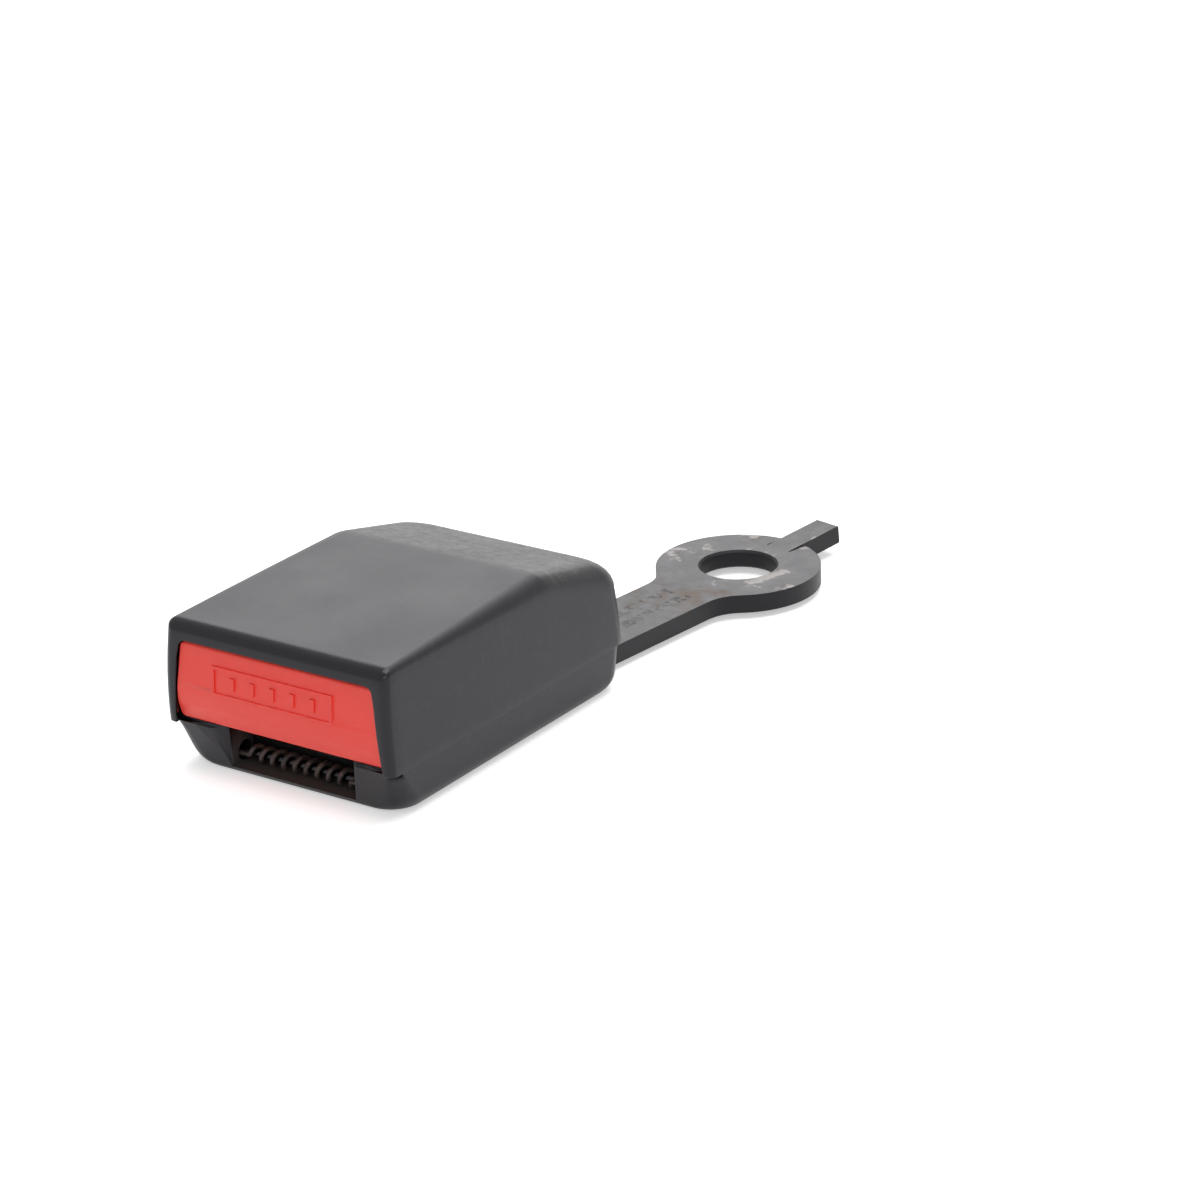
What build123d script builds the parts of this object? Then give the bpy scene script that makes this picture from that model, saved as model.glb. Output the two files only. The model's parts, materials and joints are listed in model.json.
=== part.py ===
from build123d import *
import os
from math import atan2, cos, degrees, pi, radians, sin, tan

# Push-button seat belt buckle with a flat steel anchor plate.  Millimetres.
# Modelling frame: X across the head, Y from the front of the head to its rear, Z up
# from the underside.  Every piece is saved with the centre of the anchor hole as origin.

# ---------------------------------------------------------------- clearances
fixed_gap = 0.1          # between fixed pieces that are laid in
slide_gap = 0.3          # beside and above what slides
running_gap = 0.05       # radial, pin in hole

# ------------------------------------------------- widths, outwards from the slot
slot_width = 25.8        # takes a standard belt tongue
frame_wall = 1.8
leg_room = 1.5           # between the frame's wall and the slide's leg
slide_leg_width = 2.6
side_room = 5.1          # between the slide's leg and the cover's widest line
frame_inner_width = slot_width + 0.4
frame_half = frame_inner_width / 2
frame_outer = frame_half + frame_wall
slide_leg_inner = frame_outer + leg_room
slide_leg_outer = slide_leg_inner + slide_leg_width
head_width = 2 * (slide_leg_outer + side_room)
plate_half_width = frame_outer + leg_room
screw_room = 2.7         # from the frame's wall to a cover screw's axis
screw_x = frame_outer + screw_room

# ------------------------------------------------- lengths, from the front or the rear
head_length = 69.4
stalk_reach = 47.8       # from the head's rear to the eye's centre
eye_y = head_length + stalk_reach
tail_room = 9.0          # between the frame and the head's rear
foot_length = 8.0
roof_setback = 10.0      # these setbacks run forward from the frame's rear
screw_setback = 12.0
peg_setback = 16.0
pivot_setback = 18.0
leg_setback = 15.0       # the slide's legs end this far ahead of the screws
frame_rear_y = head_length - tail_room
plate_square_end_y = frame_rear_y
frame_roof_end_y = frame_rear_y - roof_setback
foot_front_y = frame_rear_y - foot_length
foot_rivet_y = frame_rear_y - foot_length / 2
shank_start_y = foot_rivet_y
screw_y = frame_rear_y - screw_setback
peg_y = frame_rear_y - peg_setback
pivot_y = frame_rear_y - pivot_setback
slide_leg_end_y = screw_y - leg_setback

# ------------------------------------------------- heights, from the underside
floor_thickness = 1.2
plate_thickness = 3.5
channel_height = 4.4
plate_top = floor_thickness + plate_thickness
channel_top = plate_top + channel_height
block_top_z = channel_top - 0.2
frame_low_z = channel_top - 0.1
button_low_z = channel_top + 0.2
pivot_z = channel_top + 3.5
frame_top_z = pivot_z + 8.0

# ---------------------------------------------------------------- covers
cover_wall = 1.8
parting_z = 8.6
upper_draft = 1.1        # per side, from the parting line to the crest
lower_draft = 0.3        # per side, from the parting line to the underside
cover_step = 0.3         # the upper cover overhangs the lower one by this
front_bulge = 0.9        # the front face stands forward of its edges by this
bulge_z = 15.0
bulge_round = 45.0
crest_z = 28.4
crest_y = head_length - 23.1
shoulder_z = crest_z - 3.2
brow_y, brow_z = 3.4, crest_z - 1.1
tail_y, tail_z = head_length - 5.4, crest_z - 3.8
back_y, back_z = head_length - 1.8, crest_z - 6.6
shoulder_round = 2.6
front_corner_round = 1.0
rear_corner_round = 5.9
chin_y = 1.6             # front of the lower cover at the parting line
chin_slope = 2.6         # its underside starts this much further back
chin_corner_round = 5.5
heel_corner_round = 4.8
heel_round = 3.2         # under the rear face
flank_round = 2.8        # under the sides
heel_slope = 1.2         # the rear face's foot is this much further forward
rim_height = 1.5         # locating rim of the lower cover inside the upper one
rim_thickness = 0.8

# ---------------------------------------------------------------- anchor plate
plate_front_y = 9.6
eye_x = 16.0
eye_diameter = 31.0
anchor_hole_diameter = 14.3
shank_width = 14.7
shank_yaw = 6.5          # degrees from the head's centre line
neck_round = 8.0
edge_break = 0.4
tab_bearing = 79.0       # degrees from +X about the eye
tab_width = 5.3
tab_bend_radius = 11.0   # distance of the bend from the eye's centre
tab_length = 14.2
tab_rise = 4.5           # degrees
nose_window_width = 10.8
nose_window_front_y = 13.0
nose_window_length = 6.6

# ---------------------------------------------------------------- tongue way
block_rear_y = 9.4
mouth_flare_y = 4.2
mouth_round = 2.4

# ---------------------------------------------------------------- frame
frame_front_y = 10.2
frame_step_y = 29.0
foot_thickness = 1.6
stop_tab_width = 9.0
stop_tab_y = foot_front_y - foot_thickness
stop_tab_z = plate_top + 5.5
stake_length = 4.0
stake_y = (23.0, pivot_y - 5.0)
frame_slot_length, frame_slot_height = 8.5, 4.4
foot_rivet_diameter = 4.0
foot_rivet_head = 6.4
foot_rivet_sink = 1.2
foot_rivet_x = frame_half - 5.6

# ---------------------------------------------------------------- latch
pin_diameter = 4.0
pin_head_diameter = 6.4
pin_head_thickness = 1.1
clip_thickness = 0.7
clip_diameter = 7.4
clip_groove_depth = 0.5
clip_groove_inset = 0.25
latch_thickness = 2.2
latch_web_z = pivot_z - 0.6
latch_width = frame_inner_width - 2 * slide_gap
latch_neck_width = 15.0
latch_front_y = 14.4
latch_web_rear_y = pivot_y - 3.4
nose_width = 8.6
nose_length = 3.2
nose_tip_z = plate_top - 1.1
nose_ramp = 2.2
ear_front_y, ear_rear_y = 22.0, 27.0
ear_span = 2 * slide_leg_outer + 0.2
latch_lift = 10.0        # degrees
lift = radians(latch_lift)
ear_drop = latch_web_z - pivot_z
ear_rise = (pivot_y - ear_front_y) * sin(lift) + ear_drop * (cos(lift) - 1)

# ---------------------------------------------------------------- button and slide
bezel_side = 2.9         # beside the button's lower edge
button_taper = 0.95      # per side, from its lower to its upper edge
button_low_width = head_width - 2 * bezel_side
button_top_width = button_low_width - 2 * button_taper
button_top_z = shoulder_z - 1.4
button_front_y = 0.45
button_bulge = 0.8       # its upper edge stands this far behind its face
button_lip = 1.6         # its lower edge stands this far behind its face
button_lip_z = button_low_z + 3.2
button_wall = 1.5
button_skirt_y = 9.0
button_corner = 1.2
button_travel = 5.0
pressed_skirt_y = button_skirt_y + button_travel + slide_gap
mark_width = 25.5
mark_shift = -0.65       # the mark's middle, across from the button's middle
mark_low_z, mark_top_z = bulge_z + 0.6, bulge_z + 5.8
mark_line = 0.5
mark_height = 0.3
mark_bars = 5
slide_bar_y = 2.9
slide_bar_thickness = 2.0
slide_bar_low_z = channel_top + 3.3
slide_bar_top_z = slide_bar_low_z + 4.2
slide_leg_low_z = channel_top + 0.5
slide_leg_front_y = 6.8
slide_shoulder_y = 15.6
ramp_gap = 0.3
slide_leg_top_z = latch_web_z - ramp_gap

# ---------------------------------------------------------------- ejector
ejector_width = frame_inner_width - 2.4
ejector_height = 3.6
ejector_front_y = 10.2
ejector_rear_y = 26.0
ejector_low_z = plate_top + 0.2
ejector_mid_z = ejector_low_z + ejector_height / 2
prong_x = 6.3
prong_width = 3.0
fork_depth = 11.0
ejector_travel = 15.0
ejector_rod_diameter = 1.6
ejector_rod_front_y = 23.6

# ---------------------------------------------------------------- springs
return_coil_diameter = 3.5
return_coil_y = plate_front_y - return_coil_diameter / 2 - 0.6
return_coil_z = floor_thickness + 1.85
return_wire = 0.9
return_turns = 9
return_pitch = (slot_width - 4.2) / return_turns
return_arm_x = slot_width / 2 + 1.8
spring_rod_diameter = 1.5
spring_rod_reach = return_arm_x + 2.3
ejector_coil_diameter = 3.7
ejector_wire = 0.6
ejector_turns = 8
latch_spring_y = (frame_step_y + latch_web_rear_y) / 2
latch_coil_diameter = 5.2
latch_wire = 0.7
latch_turns = 4
coil_steps = 8           # straight steps in one turn
spring_seat_width = 2.2
spring_seat_height = 0.8

# ---------------------------------------------------------------- small parts
guide_thickness = 0.5
guide_length = 15.0
bumper_thickness = 1.8
bumper_height = 2.4
bumper_rear_y = slide_leg_end_y + button_travel + slide_gap + bumper_thickness
stop_post_depth = 2.0
screw_diameter = 2.4
screw_head_diameter = 4.2
screw_head_height = 1.3
screw_length = 12.0
boss_diameter = 5.0
peg_width = 2.8
peg_x = 9.0


# ---------------------------------------------------------------- helpers
def block(x0, x1, y0, y1, z0, z1):
    """A box between two corners."""
    return Pos(x0, y0, z0) * Box(x1 - x0, y1 - y0, z1 - z0, align=(Align.MIN,) * 3)


def outline(points, radii):
    """A closed flat outline with its corners rounded."""
    return make_face(FilletPolyline(*points, radius=radii, close=True))


def side_slab(face, x0, x1):
    """A face drawn in (Y, Z), as a slab from x0 to x1."""
    return Pos(x0, 0, 0) * extrude(Plane.YZ * face, amount=x1 - x0)


def front_slab(face, y0, y1):
    """A face drawn in (X, Z), as a slab from y0 to y1."""
    return Pos(0, y1, 0) * extrude(Plane.XZ * face, amount=y1 - y0)


def shrink(face, amount):
    """A flat face with its edge moved in by amount."""
    return offset(face, -amount) if amount else face


def both_sides(piece):
    """A piece and its mirror image across the head's centre plane."""
    return piece + mirror(piece, about=Plane.YZ)


def cross_rod(radius, x0, x1, y, z):
    """A round rod along X."""
    return Pos(x0, y, z) * Rot(0, 90, 0) * Cylinder(
        radius, x1 - x0, align=(Align.CENTER, Align.CENTER, Align.MIN)
    )


def long_rod(radius, y0, y1, x, z):
    """A round rod along Y."""
    return Pos(x, y0, z) * Rot(-90, 0, 0) * Cylinder(
        radius, y1 - y0, align=(Align.CENTER, Align.CENTER, Align.MIN)
    )


def post(radius, z0, z1, x, y):
    """A round post along Z."""
    return Pos(x, y, z0) * Cylinder(
        radius, z1 - z0, align=(Align.CENTER, Align.CENTER, Align.MIN)
    )


def square_post(width, z0, z1, x, y):
    """A square post along Z."""
    return Pos(x, y, z0) * Box(
        width, width, z1 - z0, align=(Align.CENTER, Align.CENTER, Align.MIN)
    )


def coil_points(diameter, wire, pitch, turns):
    """Points on the wire's middle line, round +Z from z = 0."""
    radius = (diameter - wire) / 2
    points = []
    for step in range(round(turns * coil_steps) + 1):
        angle = 2 * pi * step / coil_steps
        height = pitch * step / coil_steps
        points.append((radius * cos(angle), radius * sin(angle), height))
    return points


def wire_along(points, wire):
    """Six-sided wire along straight steps."""
    path = Polyline(*points)
    section = Plane(origin=path @ 0, z_dir=path % 0) * RegularPolygon(wire / 2, 6)
    return sweep(section, path=path, transition=Transition.RIGHT)


# ---------------------------------------------------------------- covers
def upper_side():
    """Side view of the upper cover: low brow, crest towards the rear, sloping tail."""
    foot_z = parting_z - 2 * cover_wall
    points = [
        (front_bulge, foot_z),
        (0, bulge_z),
        (front_bulge, shoulder_z),
        (brow_y, brow_z),
        (crest_y, crest_z),
        (tail_y, tail_z),
        (back_y, back_z),
        (head_length, parting_z),
        (head_length, foot_z),
    ]
    return outline(points, [0, bulge_round, 0, 0, 0, 0, 0, 0, 0])


def plan(half_width, rear_y, front_round, rear_round):
    """Plan view of a cover."""
    points = [
        (-half_width, 0),
        (half_width, 0),
        (half_width, rear_y),
        (-half_width, rear_y),
    ]
    return outline(points, [front_round, front_round, rear_round, rear_round])


def upper_form(inset):
    """Outer form of the upper cover, or its cavity when inset is the wall."""
    half = head_width / 2
    top_half = half - upper_draft
    foot_z = parting_z - 2 * cover_wall
    front_view = outline(
        [
            (-half, foot_z),
            (half, foot_z),
            (half, parting_z),
            (top_half, crest_z),
            (-top_half, crest_z),
            (-half, parting_z),
        ],
        0,
    )
    body = side_slab(shrink(upper_side(), inset), -half, half)
    body &= front_slab(shrink(front_view, inset), -head_length, 2 * head_length)
    if not inset:
        # the roof's rim is softened all round, and its crest is left crisp
        roof = body.edges().filter_by(lambda e: e.center().Z > back_z - fixed_gap)
        sides = roof.filter_by(lambda e: abs(e.center().X) > 1 and e.center().Y > brow_y / 2)
        across = roof.filter_by(
            lambda e: abs(e.center().X) < 1 and abs(e.center().Y - crest_y) > 1
        )
        body = fillet(sides + across, shoulder_round)
    seen_above = plan(half, head_length, front_corner_round, rear_corner_round)
    body &= extrude(shrink(seen_above, inset), amount=2 * crest_z)
    return body & block(-half, half, -1, head_length, parting_z, 2 * crest_z)


def button_outline(gap):
    """Front view of the button, grown by gap for its opening."""
    low, top = button_low_width / 2, button_top_width / 2
    points = [
        (-low, button_low_z),
        (low, button_low_z),
        (top, button_top_z),
        (-top, button_top_z),
    ]
    face = outline(points, button_corner)
    return offset(face, gap) if gap else face


def upper_cover():
    shell = upper_form(0) - upper_form(cover_wall)
    opening = front_slab(button_outline(slide_gap), -2, pressed_skirt_y)
    low_half = button_low_width / 2 + slide_gap
    opening += block(-low_half, low_half, -2, pressed_skirt_y, 0, button_low_z + 1)
    shell -= opening
    roof = upper_form(cover_wall / 2)
    rib = side_slab(
        outline(
            [
                (frame_step_y + 5, frame_top_z + fixed_gap),
                (frame_roof_end_y, frame_top_z + fixed_gap),
                (frame_roof_end_y + 4, crest_z),
                (frame_step_y + 1, crest_z),
            ],
            0,
        ),
        frame_half - 2,
        frame_half - 0.6,
    )
    boss = post(boss_diameter / 2, parting_z, crest_z, screw_x, screw_y)
    inner = both_sides(rib + boss) & roof
    core = post(
        screw_diameter / 2 + fixed_gap / 2,
        parting_z - 1,
        screw_length + screw_head_height + 1.5,
        screw_x,
        screw_y,
    )
    return shell + inner - both_sides(core)


def lower_form(inset, floor):
    """Outer form of the lower cover, or its cavity above the floor."""
    half = head_width / 2 - cover_step
    rear = head_length - cover_step
    top = parting_z + 2 * inset
    side_view = outline(
        [(0, top), (0, 0), (rear - heel_slope, 0), (rear, top)], [0, 0, heel_round, 0]
    )
    low_half = half - lower_draft
    front_view = outline(
        [(-half, top), (-low_half, 0), (low_half, 0), (half, top)],
        [0, flank_round, flank_round, 0],
    )
    body = side_slab(shrink(side_view, inset), -half, half)
    body &= front_slab(shrink(front_view, inset), 0, head_length)
    seen_above = plan(half, rear, front_corner_round, heel_corner_round)
    body &= extrude(shrink(seen_above, inset), amount=top)
    # the chin and its corners lean back towards the underside
    lean = degrees(atan2(chin_slope, parting_z))
    across = plan(half, 2 * head_length, chin_corner_round, 0)
    prism = extrude(shrink(across, inset), amount=head_length, both=True)
    body &= Pos(0, chin_y + chin_slope, 0) * Rot(lean, 0, 0) * prism
    settled = Pos(0, 0, floor - inset) * body
    return settled & block(-half, half, 0, rear, 0, parting_z)


def mouth_cut():
    """Tongue slot through the chin, flared at its front."""
    half = slot_width / 2
    reach = mouth_flare_y + 4
    points = [
        (-half, block_rear_y + 1),
        (-half, mouth_flare_y),
        (-half - reach, mouth_flare_y - reach),
        (half + reach, mouth_flare_y - reach),
        (half, mouth_flare_y),
        (half, block_rear_y + 1),
    ]
    face = outline(points, [0, mouth_round, 0, 0, mouth_round, 0])
    return Pos(0, 0, floor_thickness) * extrude(face, amount=2 * parting_z)


def lower_cover():
    half = head_width / 2 - cover_step
    rear = head_length - cover_step
    lower_wall = cover_wall + fixed_gap + rim_thickness - cover_step
    behind_blocks = block(-half, half, block_rear_y, rear, 0, parting_z)
    shell = lower_form(0, 0) - (lower_form(lower_wall, floor_thickness) & behind_blocks)
    # mouth blocks stand up behind the bezel, beside the tongue
    inner_half = head_width / 2 - cover_wall - fixed_gap
    riser_y = front_bulge + cover_wall + fixed_gap
    riser = block(
        slot_width / 2, inner_half, riser_y, block_rear_y, parting_z - 1, block_top_z
    )
    # locating rim inside the upper cover
    rim = upper_form(cover_wall + fixed_gap)
    rim -= upper_form(cover_wall + fixed_gap + rim_thickness)
    rim &= block(-half, half, pressed_skirt_y, rear, parting_z, parting_z + rim_height)
    boss = post(boss_diameter / 2, floor_thickness - 0.2, parting_z, screw_x, screw_y)
    stop = block(
        slide_leg_inner + 0.5,
        slide_leg_outer + 0.4,
        bumper_rear_y,
        bumper_rear_y + stop_post_depth,
        floor_thickness - 0.2,
        slide_leg_top_z + 0.4,
    )
    peg = square_post(peg_width, floor_thickness - 0.2, plate_top - 0.3, peg_x, peg_y)
    shell += both_sides(riser + boss + stop + peg) + rim
    shell -= mouth_cut()
    # sockets of the return spring: its rod, its ends and the slots of its legs
    shell -= cross_rod(
        spring_rod_diameter / 2 + running_gap,
        -spring_rod_reach - slide_gap,
        spring_rod_reach + slide_gap,
        return_coil_y,
        return_coil_z,
    )
    leg_cut = return_arm_x + return_wire
    coil_cut = return_coil_diameter / 2 + 0.1
    shell -= cross_rod(coil_cut, -leg_cut, leg_cut, return_coil_y, return_coil_z)
    leg_slot = block(
        return_arm_x - return_wire,
        leg_cut,
        slide_bar_y + slide_bar_thickness - fixed_gap,
        block_rear_y + 1,
        return_coil_z,
        block_top_z + 1,
    )
    shell -= both_sides(leg_slot)
    # counterbores and shanks of the cover screws
    head = post(
        screw_head_diameter / 2 + 0.2, -1, screw_head_height + 0.3, screw_x, screw_y
    )
    shank = post(screw_diameter / 2 + 0.2, -1, parting_z + 1, screw_x, screw_y)
    shell -= both_sides(head + shank)
    # rear exit of the shank
    exit_cut = shank_strip(shank_width / 2 + slide_gap) & block(
        -half,
        half,
        head_length - 8,
        head_length + 1,
        floor_thickness,
        plate_top + slide_gap,
    )
    return shell - exit_cut


# ---------------------------------------------------------------- anchor plate
def shank_strip(half_width):
    """A tall strip along the shank, from inside the head to the eye."""
    length = eye_y - shank_start_y
    strip = Box(
        2 * half_width,
        length / cos(radians(shank_yaw)),
        4 * plate_thickness,
        align=(Align.CENTER, Align.MAX, Align.CENTER),
    )
    return Pos(eye_x, eye_y, plate_top) * Rot(0, 0, -shank_yaw) * strip


def shank_x(y):
    """Centre of the shank at a distance y from the head's front."""
    return eye_x - (eye_y - y) * tan(radians(shank_yaw))


def plate_blank():
    """Flat outline of the pressing, without its tab."""
    half = shank_width / 2 / cos(radians(shank_yaw))
    join_y = head_length - cover_wall - cover_step - 2
    base = outline(
        [
            (-plate_half_width, plate_front_y),
            (plate_half_width, plate_front_y),
            (plate_half_width, plate_square_end_y),
            (shank_x(join_y) + half, join_y),
            (shank_x(join_y) - half, join_y),
            (-plate_half_width, plate_square_end_y),
        ],
        [2, 2, 0, 0, 5, 6],
    )
    shank = make_face(
        Polyline(
            (shank_x(shank_start_y) - half, shank_start_y),
            (shank_x(shank_start_y) + half, shank_start_y),
            (eye_x + half, eye_y),
            (eye_x - half, eye_y),
            close=True,
        )
    )
    eye = Pos(eye_x, eye_y) * Circle(eye_diameter / 2)
    neck = shank + eye
    corners = neck.vertices().filter_by(
        lambda v: v.Y < eye_y - eye_diameter / 4 and v.Y > head_length
    )
    return base + fillet(corners, neck_round)


def bent_tab():
    """Anti-rotation tab, bent up out of the eye."""
    rise = radians(tab_rise)
    flat_end = tab_bend_radius + plate_thickness / 2 * tan(rise / 2)
    run = tab_length * cos(rise)
    height = tab_length * sin(rise)
    lean = plate_thickness * sin(rise)
    rise_z = plate_thickness * cos(rise)
    inner = anchor_hole_diameter / 2 + 0.8
    points = [
        (inner, 0),
        (flat_end, 0),
        (flat_end + run, height),
        (flat_end + run - lean, height + rise_z),
        (tab_bend_radius - plate_thickness / 2 * tan(rise / 2), plate_thickness),
        (inner, plate_thickness),
    ]
    profile = outline(points, [0, 0, 0.3, 0.3, 0, 0])
    strip = extrude(Plane.XZ * profile, amount=tab_width / 2, both=True)
    place = Pos(eye_x, eye_y, floor_thickness) * Rot(0, 0, tab_bearing)
    return place * strip


def tab_notch():
    """Clearance cut round the tab in the eye's rim."""
    cut = Pos(tab_bend_radius, 0, 0) * Box(
        eye_diameter,
        tab_width + 2 * slide_gap,
        4 * plate_thickness,
        align=(Align.MIN, Align.CENTER, Align.CENTER),
    )
    return Pos(eye_x, eye_y, plate_top) * Rot(0, 0, tab_bearing) * cut


def anchor_plate():
    plate = Pos(0, 0, floor_thickness) * extrude(plate_blank(), amount=plate_thickness)
    plate -= tab_notch()
    plate += bent_tab()
    plate -= post(anchor_hole_diameter / 2, -1, 4 * plate_top, eye_x, eye_y)
    rims = plate.edges().filter_by(GeomType.CIRCLE).filter_by(
        lambda e: abs(e.radius - anchor_hole_diameter / 2) < 0.01
    )
    plate = chamfer(rims, edge_break)
    window_half = nose_window_width / 2
    plate -= block(
        -window_half,
        window_half,
        nose_window_front_y,
        nose_window_front_y + nose_window_length,
        0,
        2 * plate_top,
    )
    for side in (-1, 1):
        for y in stake_y:
            slot = Pos(side * (frame_half + frame_wall / 2), y, plate_top) * Box(
                frame_wall + 2 * fixed_gap,
                stake_length + 2 * fixed_gap,
                4 * plate_thickness,
            )
            plate -= slot
        hole_width = peg_width + 2 * fixed_gap
        plate -= square_post(hole_width, 0, 2 * plate_top, side * peg_x, peg_y)
        plate -= post(
            boss_diameter / 2 + slide_gap, 0, 2 * plate_top, side * screw_x, screw_y
        )
        plate -= foot_rivet(side * foot_rivet_x, fixed_gap / 2)
    return plate


# ---------------------------------------------------------------- rivets
def foot_rivet(x, gap):
    """Rivet through the frame's foot and the plate, with a sunk head, grown by gap."""
    seat = plate_top + foot_thickness
    shank = post(foot_rivet_diameter / 2 + gap, floor_thickness, seat, x, foot_rivet_y)
    sunk_z = floor_thickness + foot_rivet_sink
    return shank + post(
        foot_rivet_head / 2 + gap, floor_thickness, sunk_z + gap, x, foot_rivet_y
    )


def frame_rivets():
    seat = plate_top + foot_thickness
    rivets = []
    for x in (-foot_rivet_x, foot_rivet_x):
        head = post(foot_rivet_head / 2, seat, seat + foot_rivet_sink, x, foot_rivet_y)
        rivets.append(foot_rivet(x, 0) + head)
    return Compound(rivets)


# ---------------------------------------------------------------- frame
def frame():
    side_view = outline(
        [
            (frame_front_y, plate_top),
            (frame_front_y, frame_low_z),
            (frame_step_y, frame_low_z),
            (frame_step_y + 2.4, frame_top_z),
            (frame_roof_end_y + 4, frame_top_z),
            (frame_rear_y, frame_low_z + 5),
            (frame_rear_y, plate_top),
        ],
        [0, 1.5, 1.5, 2.5, 4, 3, 0],
    )
    channel = outline(
        [
            (-frame_outer, plate_top),
            (-frame_outer, frame_top_z),
            (frame_outer, frame_top_z),
            (frame_outer, plate_top),
        ],
        [0, frame_wall * 1.2, frame_wall * 1.2, 0],
    )
    channel -= outline(
        [
            (-frame_half, 0),
            (-frame_half, frame_top_z - frame_wall),
            (frame_half, frame_top_z - frame_wall),
            (frame_half, 0),
        ],
        0,
    )
    body = front_slab(channel, frame_front_y, frame_rear_y)
    body &= side_slab(side_view, -frame_outer, frame_outer)
    body -= block(
        -frame_half,
        frame_half,
        frame_roof_end_y,
        head_length,
        plate_top,
        2 * frame_top_z,
    )
    body -= side_slab(
        Pos((pivot_y + frame_rear_y) / 2 + 1.2, pivot_z - 2.4)
        * SlotOverall(frame_slot_length, frame_slot_height),
        -head_width,
        head_width,
    )
    for y in stake_y:
        stake = block(
            frame_half,
            frame_outer,
            y - stake_length / 2,
            y + stake_length / 2,
            floor_thickness + 0.2,
            plate_top,
        )
        body += both_sides(stake)
    # foot with the ejector spring's stop bent up from its front edge
    body += block(
        -frame_half,
        frame_half,
        foot_front_y,
        frame_rear_y,
        plate_top,
        plate_top + foot_thickness,
    )
    body += block(
        -stop_tab_width / 2,
        stop_tab_width / 2,
        stop_tab_y,
        foot_front_y,
        plate_top,
        stop_tab_z,
    )
    roof_z = frame_top_z - frame_wall
    seat_z = roof_z - spring_seat_height
    body += square_post(spring_seat_width, seat_z, roof_z, 0, latch_spring_y)
    body -= cross_rod(
        pin_diameter / 2 + running_gap, -head_width, head_width, pivot_y, pivot_z
    )
    body -= long_rod(
        ejector_rod_diameter / 2 + running_gap,
        stop_tab_y - 1,
        foot_front_y + 1,
        0,
        ejector_mid_z,
    )
    for x in (-foot_rivet_x, foot_rivet_x):
        body -= foot_rivet(x, fixed_gap / 2)
    return body


# ---------------------------------------------------------------- latch
def latch_plate():
    top = latch_web_z + latch_thickness
    half, neck = latch_width / 2, latch_neck_width / 2
    web_face = outline(
        [
            (-neck, latch_front_y),
            (neck, latch_front_y),
            (neck, ear_front_y),
            (ear_span / 2, ear_front_y),
            (ear_span / 2, ear_rear_y),
            (half, ear_rear_y),
            (half, latch_web_rear_y),
            (-half, latch_web_rear_y),
            (-half, ear_rear_y),
            (-ear_span / 2, ear_rear_y),
            (-ear_span / 2, ear_front_y),
            (-neck, ear_front_y),
        ],
        [2, 2, 0, 1, 1, 0, 0, 0, 0, 1, 1, 0],
    )
    body = Pos(0, 0, latch_web_z) * extrude(web_face, amount=latch_thickness)
    # nose: steep locking face at the rear, sloping face towards the mouth
    nose_rear_y = latch_front_y + nose_length
    nose_view = outline(
        [
            (latch_front_y, top - 0.3),
            (latch_front_y, channel_top),
            (latch_front_y + nose_ramp, nose_tip_z),
            (nose_rear_y, nose_tip_z),
            (nose_rear_y, top - 0.3),
        ],
        [0, 1.5, 0.4, 0.4, 0],
    )
    body += side_slab(nose_view, -nose_width / 2, nose_width / 2)
    # cheeks with the pivot holes
    ring = pin_diameter / 2 + 1.4
    cheek_view = outline(
        [
            (latch_web_rear_y - 9, top),
            (latch_web_rear_y - 9, latch_web_z),
            (pivot_y - ring, pivot_z - ring + 0.6),
            (pivot_y + ring, pivot_z - ring + 0.6),
            (pivot_y + ring, top),
        ],
        [0, 0, 2, 2, 2],
    )
    body += both_sides(side_slab(cheek_view, half - latch_thickness, half))
    seat_z = top + spring_seat_height
    body += square_post(spring_seat_width, top, seat_z, 0, latch_spring_y)
    hole = pin_diameter / 2 + running_gap
    return body - cross_rod(hole, -half - 1, half + 1, pivot_y, pivot_z)


def latch_pin():
    start = -frame_outer - pin_head_thickness
    end = frame_outer + clip_groove_inset + clip_thickness + 0.6
    body = cross_rod(pin_diameter / 2, start, end, pivot_y, pivot_z)
    body += cross_rod(pin_head_diameter / 2, start, -frame_outer, pivot_y, pivot_z)
    groove_x = frame_outer + clip_groove_inset
    groove = cross_rod(
        pin_diameter, groove_x, groove_x + clip_thickness, pivot_y, pivot_z
    )
    groove -= cross_rod(
        pin_diameter / 2 - clip_groove_depth,
        groove_x - 1,
        groove_x + clip_thickness + 1,
        pivot_y,
        pivot_z,
    )
    return body - groove


def pin_clip():
    """Open retaining ring in the pin's groove."""
    x0 = frame_outer + clip_groove_inset + 0.05
    x1 = x0 + clip_thickness - 0.1
    core = pin_diameter / 2 - clip_groove_depth
    ring = cross_rod(clip_diameter / 2, x0, x1, pivot_y, pivot_z)
    ring -= cross_rod(core + 0.05, x0 - 1, x1 + 1, pivot_y, pivot_z)
    mouth = block(
        x0 - 1, x1 + 1, pivot_y - core, pivot_y + core, pivot_z, pivot_z + clip_diameter
    )
    return ring - mouth


# ---------------------------------------------------------------- button
def button_side():
    """Side view of the button's shell."""
    points = [
        (button_front_y + button_lip, button_low_z),
        (button_front_y + button_lip / 4, button_lip_z),
        (button_front_y, bulge_z),
        (button_front_y + button_bulge, button_top_z),
        (button_skirt_y, button_top_z),
        (button_skirt_y, button_low_z),
    ]
    return outline(points, [0.6, 3, 12, 0.8, 0, 0])


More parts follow.
